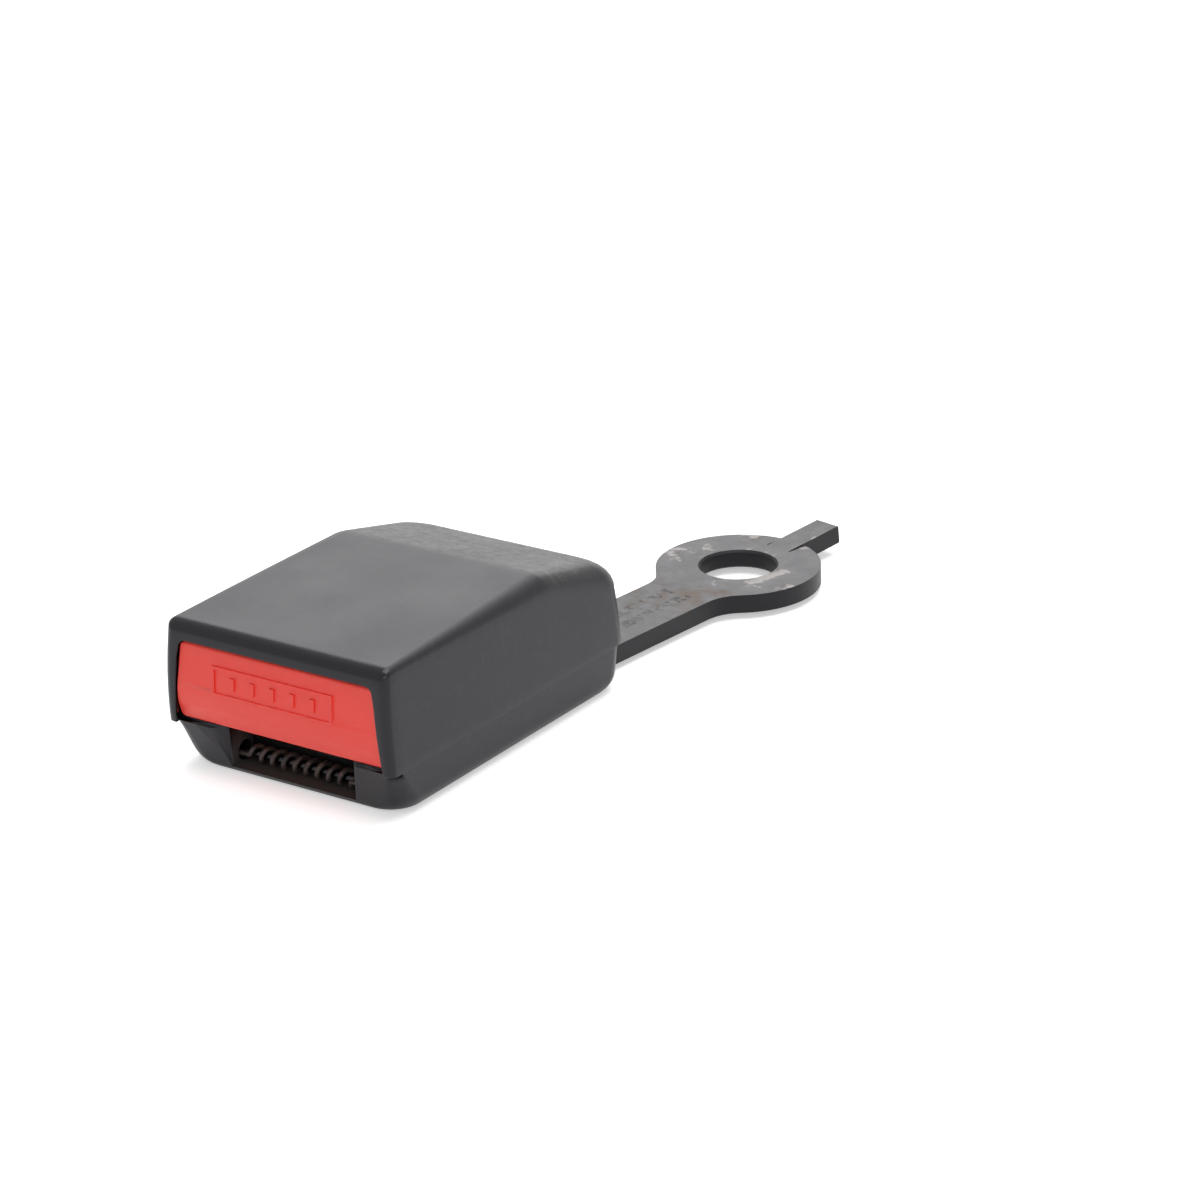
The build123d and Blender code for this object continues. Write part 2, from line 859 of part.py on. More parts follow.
def release_button():
    body = front_slab(button_outline(0), -1, button_skirt_y)
    body &= side_slab(button_side(), -head_width, head_width)
    hollow = front_slab(offset(button_outline(0), -button_wall), -1, head_width)
    hollow_side = side_slab(button_side(), -head_width, head_width)
    hollow &= Pos(0, button_wall, 0) * hollow_side
    hollow += block(
        -button_top_width / 2 + button_wall + 1,
        button_top_width / 2 - button_wall - 1,
        button_skirt_y - 2,
        button_skirt_y + 1,
        button_low_z + button_wall,
        button_top_z - button_wall,
    )
    body -= hollow
    # room for the slide's legs and the return spring's arm in the lower wall
    notch = block(
        slide_leg_inner - slide_gap,
        button_low_width,
        slide_leg_front_y - slide_gap,
        button_skirt_y + 1,
        button_low_z - 1,
        slide_bar_low_z,
    )
    arm_notch = block(
        return_arm_x - return_wire,
        return_arm_x + return_wire,
        slide_bar_y,
        button_skirt_y + 1,
        button_low_z - 1,
        button_low_z + button_wall + 0.5,
    )
    body -= both_sides(notch + arm_notch)
    # two inner ribs carry the slide's crossbar
    rib = block(
        button_low_width / 4 - 0.8,
        button_low_width / 4 + 0.8,
        button_front_y + 0.8,
        slide_bar_y,
        slide_bar_low_z - 1,
        slide_bar_top_z + 1,
    )
    body += both_sides(rib)
    # raised mark on the face: a thin frame round a row of upright bars
    left, right = mark_shift - mark_width / 2, mark_shift + mark_width / 2
    line = mark_line
    mark = block(left, right, -2, button_wall, mark_low_z, mark_top_z)
    mark -= block(
        left + line, right - line, -3, head_width, mark_low_z + line, mark_top_z - line
    )
    bar_step = mark_width / (mark_bars + 1)
    for index in range(mark_bars):
        x = left + (index + 1) * bar_step
        bar_low_z, bar_top_z = mark_low_z + 3 * line, mark_top_z - 3 * line
        mark += block(x - line, x + line, -2, button_wall, bar_low_z, bar_top_z)
    face = side_slab(button_side(), -head_width, head_width)
    return body + (mark & Pos(0, -mark_height, 0) * face)


def release_slide():
    """Crossbar behind the button's face with two legs that carry the ramps."""
    bar_rear_y = slide_bar_y + slide_bar_thickness
    ramp_top_z = slide_leg_top_z + ear_rise
    ramp_end_y = ear_front_y - button_travel
    leg_view = outline(
        [
            (slide_bar_y, slide_bar_low_z),
            (slide_bar_y, slide_bar_top_z),
            (slide_shoulder_y, slide_bar_top_z),
            (ramp_end_y - 0.4, ramp_top_z),
            (ramp_end_y, ramp_top_z),
            (ear_front_y, slide_leg_top_z),
            (slide_leg_end_y, slide_leg_top_z),
            (slide_leg_end_y, slide_leg_low_z),
            (slide_leg_front_y, slide_leg_low_z),
            (slide_leg_front_y, slide_bar_low_z),
        ],
        [0, 0, 0.3, 0, 0, 0, 0.5, 0.5, 0.5, 0],
    )
    leg = side_slab(leg_view, slide_leg_inner, slide_leg_outer)
    bar = block(
        -slide_leg_outer,
        slide_leg_outer,
        slide_bar_y,
        bar_rear_y,
        slide_bar_low_z,
        slide_bar_top_z,
    )
    return both_sides(leg) + bar


# ---------------------------------------------------------------- ejector
def ejector():
    half = ejector_width / 2
    inner, outer = prong_x - prong_width / 2, prong_x + prong_width / 2
    fork_y = ejector_front_y + fork_depth
    points = [
        (inner, ejector_front_y),
        (outer, ejector_front_y),
        (outer, fork_y),
        (half, fork_y),
        (half, ejector_rear_y),
        (-half, ejector_rear_y),
        (-half, fork_y),
        (-outer, fork_y),
        (-outer, ejector_front_y),
        (-inner, ejector_front_y),
        (-inner, fork_y - 1),
        (inner, fork_y - 1),
    ]
    face = outline(points, [1.2, 1.2, 0, 1, 1, 1, 1, 0, 1.2, 1.2, 1, 1])
    body = Pos(0, 0, ejector_low_z) * extrude(face, amount=ejector_height)
    hole = long_rod(
        ejector_rod_diameter / 2 + running_gap,
        ejector_front_y,
        ejector_rear_y + 1,
        0,
        ejector_mid_z,
    )
    return body - hole


def ejector_rod():
    """Guide rod of the ejector's spring, held in the frame's stop tab."""
    radius = ejector_rod_diameter / 2
    return long_rod(radius, ejector_rod_front_y, foot_front_y, 0, ejector_mid_z)


# ---------------------------------------------------------------- springs
def return_spring():
    """Transverse torsion spring at the mouth, its long arm behind the button."""
    turns = coil_points(return_coil_diameter, return_wire, return_pitch, return_turns)
    half = return_turns * return_pitch / 2
    round_x = [(z - half, return_coil_y - x, return_coil_z + y) for x, y, z in turns]
    # each end runs out along X, in front of the axis, then turns up
    end_y, end_z = round_x[0][1:]
    arm_rear_y = slide_bar_y + slide_bar_thickness + fixed_gap + return_wire / 2
    short_arm = (-return_arm_x, end_y, block_top_z - 1)
    long_arm = (return_arm_x, arm_rear_y, slide_bar_low_z + 1.6)
    bends = [(-return_arm_x, end_y, end_z), (return_arm_x, end_y, end_z)]
    return wire_along([short_arm, bends[0], *round_x, bends[1], long_arm], return_wire)


def spring_rod():
    return cross_rod(
        spring_rod_diameter / 2,
        -spring_rod_reach,
        spring_rod_reach,
        return_coil_y,
        return_coil_z,
    )


def ejector_spring():
    start = ejector_rear_y + fixed_gap
    length = stop_tab_y - fixed_gap - start - ejector_wire
    pitch = length / ejector_turns
    turns = coil_points(ejector_coil_diameter, ejector_wire, pitch, ejector_turns)
    place = Pos(0, start + ejector_wire / 2, ejector_mid_z) * Rot(-90, 0, 0)
    return place * wire_along(turns, ejector_wire)


def latch_spring():
    start = latch_web_z + latch_thickness + fixed_gap
    length = frame_top_z - frame_wall - fixed_gap - start - latch_wire
    pitch = length / latch_turns
    turns = coil_points(latch_coil_diameter, latch_wire, pitch, latch_turns)
    return Pos(0, latch_spring_y, start + latch_wire / 2) * wire_along(turns, latch_wire)


# ---------------------------------------------------------------- small parts
def mouth_guides():
    """Low-friction cheeks between the frame's walls and the tongue."""
    cheek = block(
        frame_half - guide_thickness,
        frame_half - 0.02,
        frame_front_y + 0.2,
        frame_front_y + guide_length,
        plate_top + 0.05,
        frame_low_z,
    )
    return Compound([cheek, mirror(cheek, about=Plane.YZ)])


def button_bumpers():
    """Rubber pads on the stop posts behind the slide's legs."""
    pad = block(
        slide_leg_inner + 0.6,
        slide_leg_outer,
        bumper_rear_y - bumper_thickness,
        bumper_rear_y,
        slide_leg_top_z - bumper_height,
        slide_leg_top_z,
    )
    return Compound([pad, mirror(pad, about=Plane.YZ)])


def cover_screws():
    """Two self-tapping screws that hold the covers together."""
    screws = []
    for side in (-1, 1):
        x = side * screw_x
        seat = screw_head_height + 0.3
        head = post(screw_head_diameter / 2, 0.3, seat, x, screw_y)
        cross = Box(screw_head_diameter * 0.6, 0.7, 1.2) + Box(
            0.7, screw_head_diameter * 0.6, 1.2
        )
        shank = post(screw_diameter / 2, seat, seat + screw_length - 1, x, screw_y)
        screws.append(head + shank - Pos(x, screw_y, 0.3) * cross)
    return Compound(screws)


# ---------------------------------------------------------------- save
PIECES = {
    "upper_cover": upper_cover,
    "lower_cover": lower_cover,
    "anchor_plate": anchor_plate,
    "frame": frame,
    "frame_rivets": frame_rivets,
    "latch_pin": latch_pin,
    "pin_clip": pin_clip,
    "mouth_guides": mouth_guides,
    "button_bumpers": button_bumpers,
    "cover_screws": cover_screws,
    "spring_rod": spring_rod,
    "ejector_rod": ejector_rod,
    "release_button": release_button,
    "release_slide": release_slide,
    "latch_plate": latch_plate,
    "ejector": ejector,
    "return_spring": return_spring,
    "latch_spring": latch_spring,
    "ejector_spring": ejector_spring,
}

os.makedirs("parts", exist_ok=True)
hole_mid_z = floor_thickness + plate_thickness / 2
to_anchor_hole = Pos(-eye_x, -eye_y, -hole_mid_z)
for name, make in PIECES.items():
    export_step(to_anchor_hole * make(), f"parts/{name}.step")
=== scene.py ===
import json
from math import cos, pi, radians, sin, sqrt, tan, tau

import bmesh
import bpy
from mathutils import Matrix, Vector


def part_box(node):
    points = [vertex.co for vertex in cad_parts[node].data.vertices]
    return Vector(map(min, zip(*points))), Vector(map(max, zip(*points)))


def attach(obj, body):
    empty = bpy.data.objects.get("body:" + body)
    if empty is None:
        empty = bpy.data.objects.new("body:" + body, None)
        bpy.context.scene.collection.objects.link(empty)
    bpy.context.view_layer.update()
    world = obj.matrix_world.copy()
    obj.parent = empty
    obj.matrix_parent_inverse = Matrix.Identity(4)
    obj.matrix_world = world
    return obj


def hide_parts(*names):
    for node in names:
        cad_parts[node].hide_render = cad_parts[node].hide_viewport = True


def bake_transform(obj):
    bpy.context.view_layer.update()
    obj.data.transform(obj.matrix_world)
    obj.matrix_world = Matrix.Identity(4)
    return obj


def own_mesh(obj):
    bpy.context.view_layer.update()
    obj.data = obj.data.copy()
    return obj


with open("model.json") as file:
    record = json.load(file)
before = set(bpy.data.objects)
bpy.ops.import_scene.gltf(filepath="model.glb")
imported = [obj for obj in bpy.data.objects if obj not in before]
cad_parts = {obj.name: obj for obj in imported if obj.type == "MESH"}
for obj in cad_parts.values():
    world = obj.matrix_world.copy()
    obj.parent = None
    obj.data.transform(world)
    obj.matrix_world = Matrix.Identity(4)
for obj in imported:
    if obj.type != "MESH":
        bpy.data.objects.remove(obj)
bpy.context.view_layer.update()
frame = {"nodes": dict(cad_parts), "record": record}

# Push-button seat belt buckle on its steel anchor plate.  Metres, in the row frame:
# origin in the middle of the anchor hole, +Y from the button towards the eye.

nodes = frame["nodes"]
MM = 0.001

# ------------------------------------------------------------------ landmarks
cover_low, cover_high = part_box("upper_cover")
button_low, button_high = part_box("release_button")
floor_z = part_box("lower_cover")[0].z
head_x = (cover_low.x + cover_high.x) / 2
front_y = cover_low.y
SHANK_YAW_DEG = 6.5          # the shank's turn from the head's own line
PAINTED_COOL_REFLECTION = "#F2F2FC"      # painted cool tint on what the dark finishes mirror: a painted reflection colour


# ------------------------------------------------------------------ node helpers
def paint(hex_colour):
    """An sRGB hex colour as linear RGBA."""
    channels = [int(hex_colour[i : i + 2], 16) / 255 for i in (1, 3, 5)]
    linear = [c / 12.92 if c <= 0.04045 else ((c + 0.055) / 1.055) ** 2.4 for c in channels]
    return (*linear, 1.0)


def per(size_mm):
    """Texture scale that gives features of this size in millimetres."""
    return 1 / MM / size_mm


def feed(tree, socket, value):
    """Links a socket to another one, or sets its constant."""
    if isinstance(value, bpy.types.NodeSocket):
        tree.links.new(value, socket)
    else:
        socket.default_value = value


def add(tree, kind, inputs=None, **settings):
    """One node with its settings, and its inputs set or linked."""
    node = tree.nodes.new(kind)
    for name, value in settings.items():
        setattr(node, name, value)
    for name, value in (inputs or {}).items():
        feed(tree, node.inputs[name], value)
    return node


def blank(name):
    """A new material with its Principled shader and object coordinates."""
    material = bpy.data.materials.new(name)
    material.use_nodes = True
    tree = material.node_tree
    shader = tree.nodes["Principled BSDF"]
    place = add(tree, "ShaderNodeTexCoord").outputs["Object"]
    return material, tree, shader, place


def finish(tree, shader, **values):
    """Links or sets the shader's inputs, named with underscores for spaces."""
    for name, value in values.items():
        feed(tree, shader.inputs[name.replace("_", " ")], value)


def parts_of(tree, vector):
    """The X, Y and Z outputs of a vector."""
    return add(tree, "ShaderNodeSeparateXYZ", {"Vector": vector}).outputs


def noise(tree, place, size_mm, detail=3.0, roughness=0.5):
    """Cloudy pattern of a real size, about 0 to 1."""
    inputs = {"Vector": place, "Scale": per(size_mm), "Detail": detail, "Roughness": roughness}
    return add(tree, "ShaderNodeTexNoise", inputs).outputs["Fac"]


def ramp(tree, value, low, high, to_low=0.0, to_high=1.0):
    """Value between low and high, spread smoothly between two results."""
    inputs = {0: value, 1: low, 2: high, 3: to_low, 4: to_high}
    return add(tree, "ShaderNodeMapRange", inputs, interpolation_type="SMOOTHSTEP").outputs[0]


def mixed(tree, share, first, second):
    """Colour between two colours."""
    inputs = {0: share, 6: first, 7: second}
    return add(tree, "ShaderNodeMix", inputs, data_type="RGBA").outputs[2]


def maths(tree, operation, first, second=0.0):
    """One step of arithmetic on sockets or numbers."""
    inputs = {0: first, 1: second}
    return add(tree, "ShaderNodeMath", inputs, operation=operation).outputs[0]


def times(tree, first, second):
    return maths(tree, "MULTIPLY", first, second)


def away_from(tree, value, middle):
    """How far a value is from a middle, either way."""
    return maths(tree, "ABSOLUTE", maths(tree, "SUBTRACT", value, middle))


def bump(tree, height, distance_mm, strength=1.0, below=None):
    """Shading normal of a relief, on top of another one if that is given."""
    inputs = {"Height": height, "Distance": distance_mm * MM, "Strength": strength}
    if below is not None:
        inputs["Normal"] = below
    return add(tree, "ShaderNodeBump", inputs).outputs["Normal"]


# ------------------------------------------------------------------ materials
def painted_light_in_mouth(tree, parts):
    """Where painted light goes: 1 inside the tongue's mouth, easing to 0 just outside it."""
    # along each axis: the mouth's middle, then how far off it gives 0 and 1, in mm
    limits = (
        ("X", head_x, 13.4, 12.6),
        ("Z", floor_z + 4.7 * MM, 4.3, 3.8),
        ("Y", front_y + 9.0 * MM, 6.0, 4.5),
    )
    share = 1.0
    for axis, middle, outside, inside in limits:
        off = away_from(tree, parts[axis], middle)
        share = times(tree, share, ramp(tree, off, outside * MM, inside * MM))
    return share


def moulded_charcoal_nylon():
    """Glass-filled nylon covers, moulded in charcoal: a spark-eroded mould gives the fine
    grain, and the mould is polished round the button.

    The eye gets a near-black body that turns mid grey on the roof, where it mirrors
    the sky, a duller and mottled tail that hands have rubbed, a glossy bezel, and
    painted light inside the tongue's mouth, which is painted paler.
    """
    material, tree, shader, place = blank("moulded_charcoal_nylon")
    parts = parts_of(tree, place)
    depth = parts["Y"]
    face = add(tree, "ShaderNodeNewGeometry").outputs["True Normal"]
    upward = parts_of(tree, face)["Z"]
    tail = ramp(tree, depth, front_y + 45.6 * MM, front_y + 46.6 * MM)
    tail = times(tree, tail, ramp(tree, upward, 0.25, 0.9))
    bezel = ramp(tree, depth, front_y + 2.7 * MM, front_y + 2.1 * MM)
    cloud = noise(tree, place, 16.0, 4.0, 0.6)
    mottle = noise(tree, place, 1.7, 5.0, 0.7)
    grain = noise(tree, place, 0.34, 2.0, 0.6)
    scuff = noise(tree, place, 5.0, 6.0, 0.72)
    tone = mixed(tree, ramp(tree, cloud, 0.35, 0.65), paint("#131315"), paint("#19191B"))
    tone = mixed(tree, ramp(tree, mottle, 0.45, 0.75, 0.0, 0.5), tone, paint("#262628"))
    dust = times(tree, tail, ramp(tree, scuff, 0.45, 0.7, 0.05, 0.4))
    tone = mixed(tree, dust, tone, paint("#6A6662"))
    # painted light: inside the tongue's mouth the housing is painted paler, standing in for
    # light that reaches into it
    tone = mixed(tree, painted_light_in_mouth(tree, parts), tone, paint("#4D4946"))
    tone = mixed(tree, bezel, tone, paint("#0A0A0B"))
    rough = ramp(tree, cloud, 0.3, 0.7, 0.36, 0.42)
    worn = times(tree, ramp(tree, mottle, 0.35, 0.7, -0.04, 0.06), tail)
    rough = maths(tree, "ADD", rough, worn)
    rough = maths(tree, "SUBTRACT", rough, times(tree, bezel, 0.2))
    matt = maths(tree, "SUBTRACT", 1.0, times(tree, bezel, 0.95))
    grain_depth = maths(tree, "ADD", 0.3, times(tree, tail, 0.7))
    normal = bump(tree, times(tree, times(tree, grain, grain_depth), matt), 0.035)
    normal = bump(tree, times(tree, mottle, tail), 0.05, 0.5, normal)
    finish(tree, shader, Base_Color=tone, Roughness=rough, Normal=normal)
    # painted reflection: the housing's shine takes the painted cool tint
    finish(tree, shader, IOR=1.46, Specular_IOR_Level=0.42, Specular_Tint=paint(PAINTED_COOL_REFLECTION))
    return material


def satin_red_abs():
    """Red ABS button, moulded in a fine satin mould.

    The eye gets an even warm red with faint, deeper rub marks where thumbs press it.
    """
    material, tree, shader, place = blank("satin_red_abs")
    cloud = noise(tree, place, 9.0)
    grain = noise(tree, place, 0.35, 2.0)
    rub = noise(tree, place, 1.1, 5.0, 0.7)
    tone = mixed(tree, cloud, paint("#E8382C"), paint("#EC3F33"))
    tone = mixed(tree, ramp(tree, rub, 0.62, 0.75, 0.0, 0.35), tone, paint("#CF2E26"))
    rough = ramp(tree, rub, 0.3, 0.7, 0.38, 0.5)
    normal = bump(tree, grain, 0.02, 0.5)
    finish(tree, shader, Base_Color=tone, Roughness=rough, Normal=normal, IOR=1.53)
    return material


def black_acetal():
    """Unfilled acetal, smooth from the mould: dense black with a waxy shine."""
    material, tree, shader, place = blank("black_acetal")
    cloud = noise(tree, place, 5.0)
    tone = mixed(tree, cloud, paint("#111113"), paint("#1B1B1D"))
    rough = ramp(tree, cloud, 0.3, 0.7, 0.34, 0.46)
    finish(tree, shader, Base_Color=tone, Roughness=rough, IOR=1.48)
    return material


def stamped_marks(tree, place):
    """Two rows of worn tool marks struck into the shank, as a height from 0 to 1."""
    row_middles, row_half = (-1.9, 2.3), (1.25, 1.1)     # mm across the shank
    mark_step, mark_gap = 1.35, (0.16, 0.3)              # mm along it
    field_middle, field_half = -27.0, (9.5, 9.0)
    turn = (0.0, 0.0, radians(SHANK_YAW_DEG))
    local = add(tree, "ShaderNodeMapping", {"Vector": place, "Rotation": turn}).outputs[0]
    parts = parts_of(tree, local)
    across, along = parts["X"], parts["Y"]
    struck = ramp(tree, noise(tree, local, 1.15, 1.0, 0.4), 0.52, 0.57)
    rows = 0.0
    for middle in row_middles:
        off = away_from(tree, across, middle * MM)
        rows = maths(tree, "MAXIMUM", rows, ramp(tree, off, *(mm * MM for mm in row_half)))
    step = maths(tree, "PINGPONG", along, mark_step * MM)
    between = ramp(tree, step, *(mm * MM for mm in mark_gap))
    off = away_from(tree, along, field_middle * MM)
    reach = ramp(tree, off, *(mm * MM for mm in field_half))
    return times(tree, times(tree, times(tree, rows, between), reach), struck)


def phosphated_plate_steel():
    """Blanked spring steel plate, zinc phosphated and oiled, worn and starting to rust.

    The eye gets a near-black crystalline phosphate, pale spots rubbed through on the eye,
    ochre rust where the phosphate has broken, and struck tool marks on the shank; the
    plate's sides are painted darker still and given less sheen than its top, as painted shade.
    """
    material, tree, shader, place = blank("phosphated_plate_steel")
    along = parts_of(tree, place)["Y"]
    cloud = noise(tree, place, 6.0, 5.0, 0.65)
    crystal = noise(tree, place, 0.5, 3.0, 0.6)
    rust_field = noise(tree, place, 5.0, 7.0, 0.75)
    rub_field = noise(tree, place, 5.5, 3.0, 0.55)
    face = add(tree, "ShaderNodeNewGeometry").outputs["Normal"]
    on_top = ramp(tree, parts_of(tree, face)["Z"], 0.7, 0.95)
    neck = ramp(tree, away_from(tree, along, -21.0 * MM), 13.0 * MM, 3.0 * MM)
    ring = ramp(tree, along, -13.0 * MM, -9.0 * MM)
    marks = times(tree, stamped_marks(tree, place), on_top)
    coat_and_side_shade = mixed(tree, ramp(tree, cloud, 0.35, 0.65), paint("#1F1F20"), paint("#444344"))
    coat_and_side_shade = mixed(tree, times(tree, crystal, 0.35), coat_and_side_shade, paint("#5C5A58"))
    # painted shade: the plate's sides, facing away from the top, are painted near-black
    coat_and_side_shade = mixed(tree, on_top, paint("#131313"), coat_and_side_shade)
    rust_level = maths(tree, "ADD", rust_field, times(tree, neck, 0.09))
    rust = times(tree, ramp(tree, rust_level, 0.54, 0.72, 0.0, 0.75), on_top)
    tone = mixed(tree, rust, coat_and_side_shade, paint("#5F4F3F"))
    bare = times(tree, ramp(tree, rub_field, 0.585, 0.67, 0.0, 0.75), on_top)
    bare = times(tree, bare, ring)
    tone = mixed(tree, bare, tone, paint("#9C9893"))
    tone = mixed(tree, marks, tone, paint("#1A1918"))
    rough = maths(tree, "ADD", 0.4, times(tree, rust, 0.25))
    rough = maths(tree, "ADD", rough, times(tree, crystal, 0.08))
    relief = maths(tree, "ADD", times(tree, crystal, 0.25), rust)
    relief = maths(tree, "SUBTRACT", relief, times(tree, marks, 3.0))
    normal = bump(tree, relief, 0.06, 0.8)
    metal = times(tree, bare, 0.5)
    # painted sheen: the top is given more shine than the sides
    sheen = ramp(tree, on_top, 0.0, 1.0, 0.28, 0.5)
    finish(tree, shader, Base_Color=tone, Roughness=rough, Metallic=metal, Normal=normal)
    # painted reflection: the plate's shine takes the painted cool tint
    finish(tree, shader, Specular_IOR_Level=sheen, Specular_Tint=paint(PAINTED_COOL_REFLECTION))
    return material


def zinc_plated_pressing():
    """Mild steel pressing with a passivated zinc plate: pale grey with faint spangle."""
    material, tree, shader, place = blank("zinc_plated_pressing")
    cloud = noise(tree, place, 4.0, 4.0)
    fine = noise(tree, place, 0.6)
    tone = mixed(tree, cloud, paint("#9C9EA0"), paint("#B4B5B4"))
    rough = ramp(tree, fine, 0.3, 0.7, 0.34, 0.48)
    normal = bump(tree, fine, 0.02, 0.4)
    finish(tree, shader, Base_Color=tone, Roughness=rough, Normal=normal, Metallic=1.0)
    return material


def ground_pin_steel():
    """Hardened pin steel, ground and blackened: dark, with fine rings round the pin."""
    material, tree, shader, place = blank("ground_pin_steel")
    squeezed = {"Vector": place, "Scale": (30.0, 1.0, 1.0)}      # rings close together along X
    rings = noise(tree, add(tree, "ShaderNodeMapping", squeezed).outputs[0], 8.0)
    tone = mixed(tree, rings, paint("#2C2C2E"), paint("#3C3C3F"))
    rough = ramp(tree, rings, 0.3, 0.7, 0.22, 0.32)
    finish(tree, shader, Base_Color=tone, Roughness=rough, Metallic=1.0)
    return material


def drawn_spring_wire():
    """Oil-tempered spring wire: brown oxide over steel, brighter where it rubs."""
    material, tree, shader, place = blank("drawn_spring_wire")
    cloud = noise(tree, place, 1.6, 4.0, 0.6)
    tone = mixed(tree, ramp(tree, cloud, 0.35, 0.65), paint("#2A2421"), paint("#4A403B"))
    rough = ramp(tree, cloud, 0.3, 0.7, 0.5, 0.62)
    finish(tree, shader, Base_Color=tone, Roughness=rough, Metallic=0.35)
    return material


def moulded_nitrile():
    """Moulded nitrile rubber: matt black with a dusty bloom."""
    material, tree, shader, place = blank("moulded_nitrile")
    bloom = noise(tree, place, 1.5, 4.0, 0.6)
    tone = mixed(tree, bloom, paint("#161616"), paint("#2A2A29"))
    normal = bump(tree, bloom, 0.03, 0.4)
    finish(tree, shader, Base_Color=tone, Normal=normal, Roughness=0.78)
    return material


def black_zinc_screw():
    """Black zinc plated screw steel: dark and slightly blue."""
    material, tree, shader, place = blank("black_zinc_screw")
    cloud = noise(tree, place, 1.2, 4.0)
    tone = mixed(tree, cloud, paint("#1E1F22"), paint("#3A3B3F"))
    rough = ramp(tree, cloud, 0.3, 0.7, 0.32, 0.46)
    finish(tree, shader, Base_Color=tone, Roughness=rough, Metallic=0.9)
    return material


FINISHES = {
    "housing": moulded_charcoal_nylon(),
    "inner_plastic": black_acetal(),
    "button": satin_red_abs(),
    "plate_steel": phosphated_plate_steel(),
    "frame_steel": zinc_plated_pressing(),
    "pin_steel": ground_pin_steel(),
    "spring_steel": drawn_spring_wire(),
    "rubber": moulded_nitrile(),
    "screw_steel": black_zinc_screw(),
}
slot_of = {s["node"]: s["material_slot"] for s in frame["record"]["subparts"]}
for name, piece in nodes.items():
    piece.data.materials.clear()
    piece.data.materials.append(FINISHES[slot_of[name]])

# ------------------------------------------------------------------ pieces and meshes
HEAD = Vector((-16.0, -117.2, -2.95))    # the head's front, middle and underside, in mm


def at(x, y, z):
    """A place given in the head's own millimetres, in the row frame."""
    return (Vector((x, y, z)) + HEAD) * MM


def spread(first, last, count):
    """Evenly spaced values, ends included."""
    return [first + (last - first) * k / (count - 1) for k in range(count)]


def body_named(node):
    """The moving body that a CAD node belongs to."""
    bodies = frame["record"]["behaviour"]["bodies"]
    return next(body for body, members in bodies.items() if node in members)


def new_piece(name, mesh, node=None, slot=None, rides=True):
    """A named piece that rides its body and may stand for a CAD node."""
    piece = bpy.data.objects.new(name, mesh)
    bpy.context.scene.collection.objects.link(piece)
    finish_slot = slot or slot_of[node]
    mesh.materials.clear()
    mesh.materials.append(FINISHES[finish_slot])
    if rides:
        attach(piece, body_named(node) if node else "buckle")
    if node:
        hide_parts(node)
    return piece


def smooth_but(mesh, sharp_deg):
    """Smooth shading, apart from edges that turn by more than an angle."""
    mesh.shade_smooth()
    mesh.set_sharp_from_angle(angle=radians(sharp_deg))


def mesh_of(work, name):
    """The work's faces as a new mesh."""
    mesh = bpy.data.meshes.new(name)
    work.to_mesh(mesh)
    work.free()
    return mesh


def joined(mesh, flat=True):
    """Coinciding corners joined and, unless flat is off, each flat area in one piece."""
    work = bmesh.new()
    work.from_mesh(mesh)
    bmesh.ops.remove_doubles(work, verts=work.verts, dist=0.002 * MM)
    if flat:
        limit = radians(0.6)
        bmesh.ops.dissolve_limit(work, angle_limit=limit, verts=work.verts, edges=work.edges)
    work.to_mesh(mesh)
    work.free()
    return mesh


def copy_of(node):
    """The node's own faces, to be worked on."""
    mesh = nodes[node].data.copy()
    mesh.name = node + "_softened"
    return mesh


def softened(node, mesh=None, sharp_deg=32.0):
    """A rigid piece with its flat areas in one piece and its rounds shaded smoothly."""
    mesh = joined(mesh or copy_of(node))
    piece = new_piece(node + "_softened", mesh, node=node)
    smooth_but(mesh, sharp_deg)
    flat = piece.modifiers.new("flat_faces_stay_flat", "WEIGHTED_NORMAL")
    flat.mode = "FACE_AREA_WITH_ANGLE"
    flat.weight = 80
    flat.keep_sharp = True


# ------------------------------------------------------------------ release button
def widened_button():
    """The button, a little wider towards its foot than a straight taper."""
    flare, side_from = 0.6, 18.0         # added at the foot, to what is this far out
    mesh = joined(copy_of("release_button"), flat=False)
    for vertex in mesh.vertices:
        out = vertex.co.x - head_x
        if abs(out) > side_from * MM:
            share = (button_high.z - vertex.co.z) / (button_high.z - button_low.z)
            vertex.co.x += (flare * MM if out > 0 else -flare * MM) * share
    softened("release_button", mesh, sharp_deg=9.0)


# ------------------------------------------------------------------ upper cover
# From here on, plain lengths are millimetres from the head's front, middle and underside.
cover_half, cover_length = 24.08, 69.4
side_bow = 0.06              # the sides are widest at mid-length
crest_y, crest_z, crest_ease = 46.3, 28.37, 1.1
roof_slope, tail_slope = 0.0256, -0.2247
split_z = 8.62               # parting line
opening_top_z, opening_low_z = 24.05, 9.0
opening_top_half, opening_low_half = 20.55, 22.0
opening_round = 1.5
front_arc, rear_arc = 1.45, 4.2          # corners in plan, at the parting line
front_tip, rear_tip = 0.5, 5.0           # the same corners on the roof
front_shoulder, rear_shoulder = 2.2, 5.0         # radius from an end wall to the roof
side_shoulder, side_shoulder_gain = 1.25, 3.5    # the same on the sides, growing rearward
side_shoulder_run = 66.0
front_set, front_swell = 0.2, 0.7        # the front wall stands furthest out at its middle
front_middle_z, front_reach = 15.0, 10.2
side_lean, rear_lean = 0.5, 1.35         # how far the other walls lean in at their top
wall_rise = 13.4
first_row_y, last_row_y = 4.2, 57.0      # the roof's rows of points between the corners
front_steps, rear_steps = 3, 8           # samples on half a corner
low_rows, band_rows, round_rows = 7, 3, 6        # up a wall, under the roof, round it
band_share = 0.75            # of the wall, at most, stands below the band
cover_skin, rim_break = 1.15, 0.28
FRONT, SIDE, REAR = "front", "side", "rear"


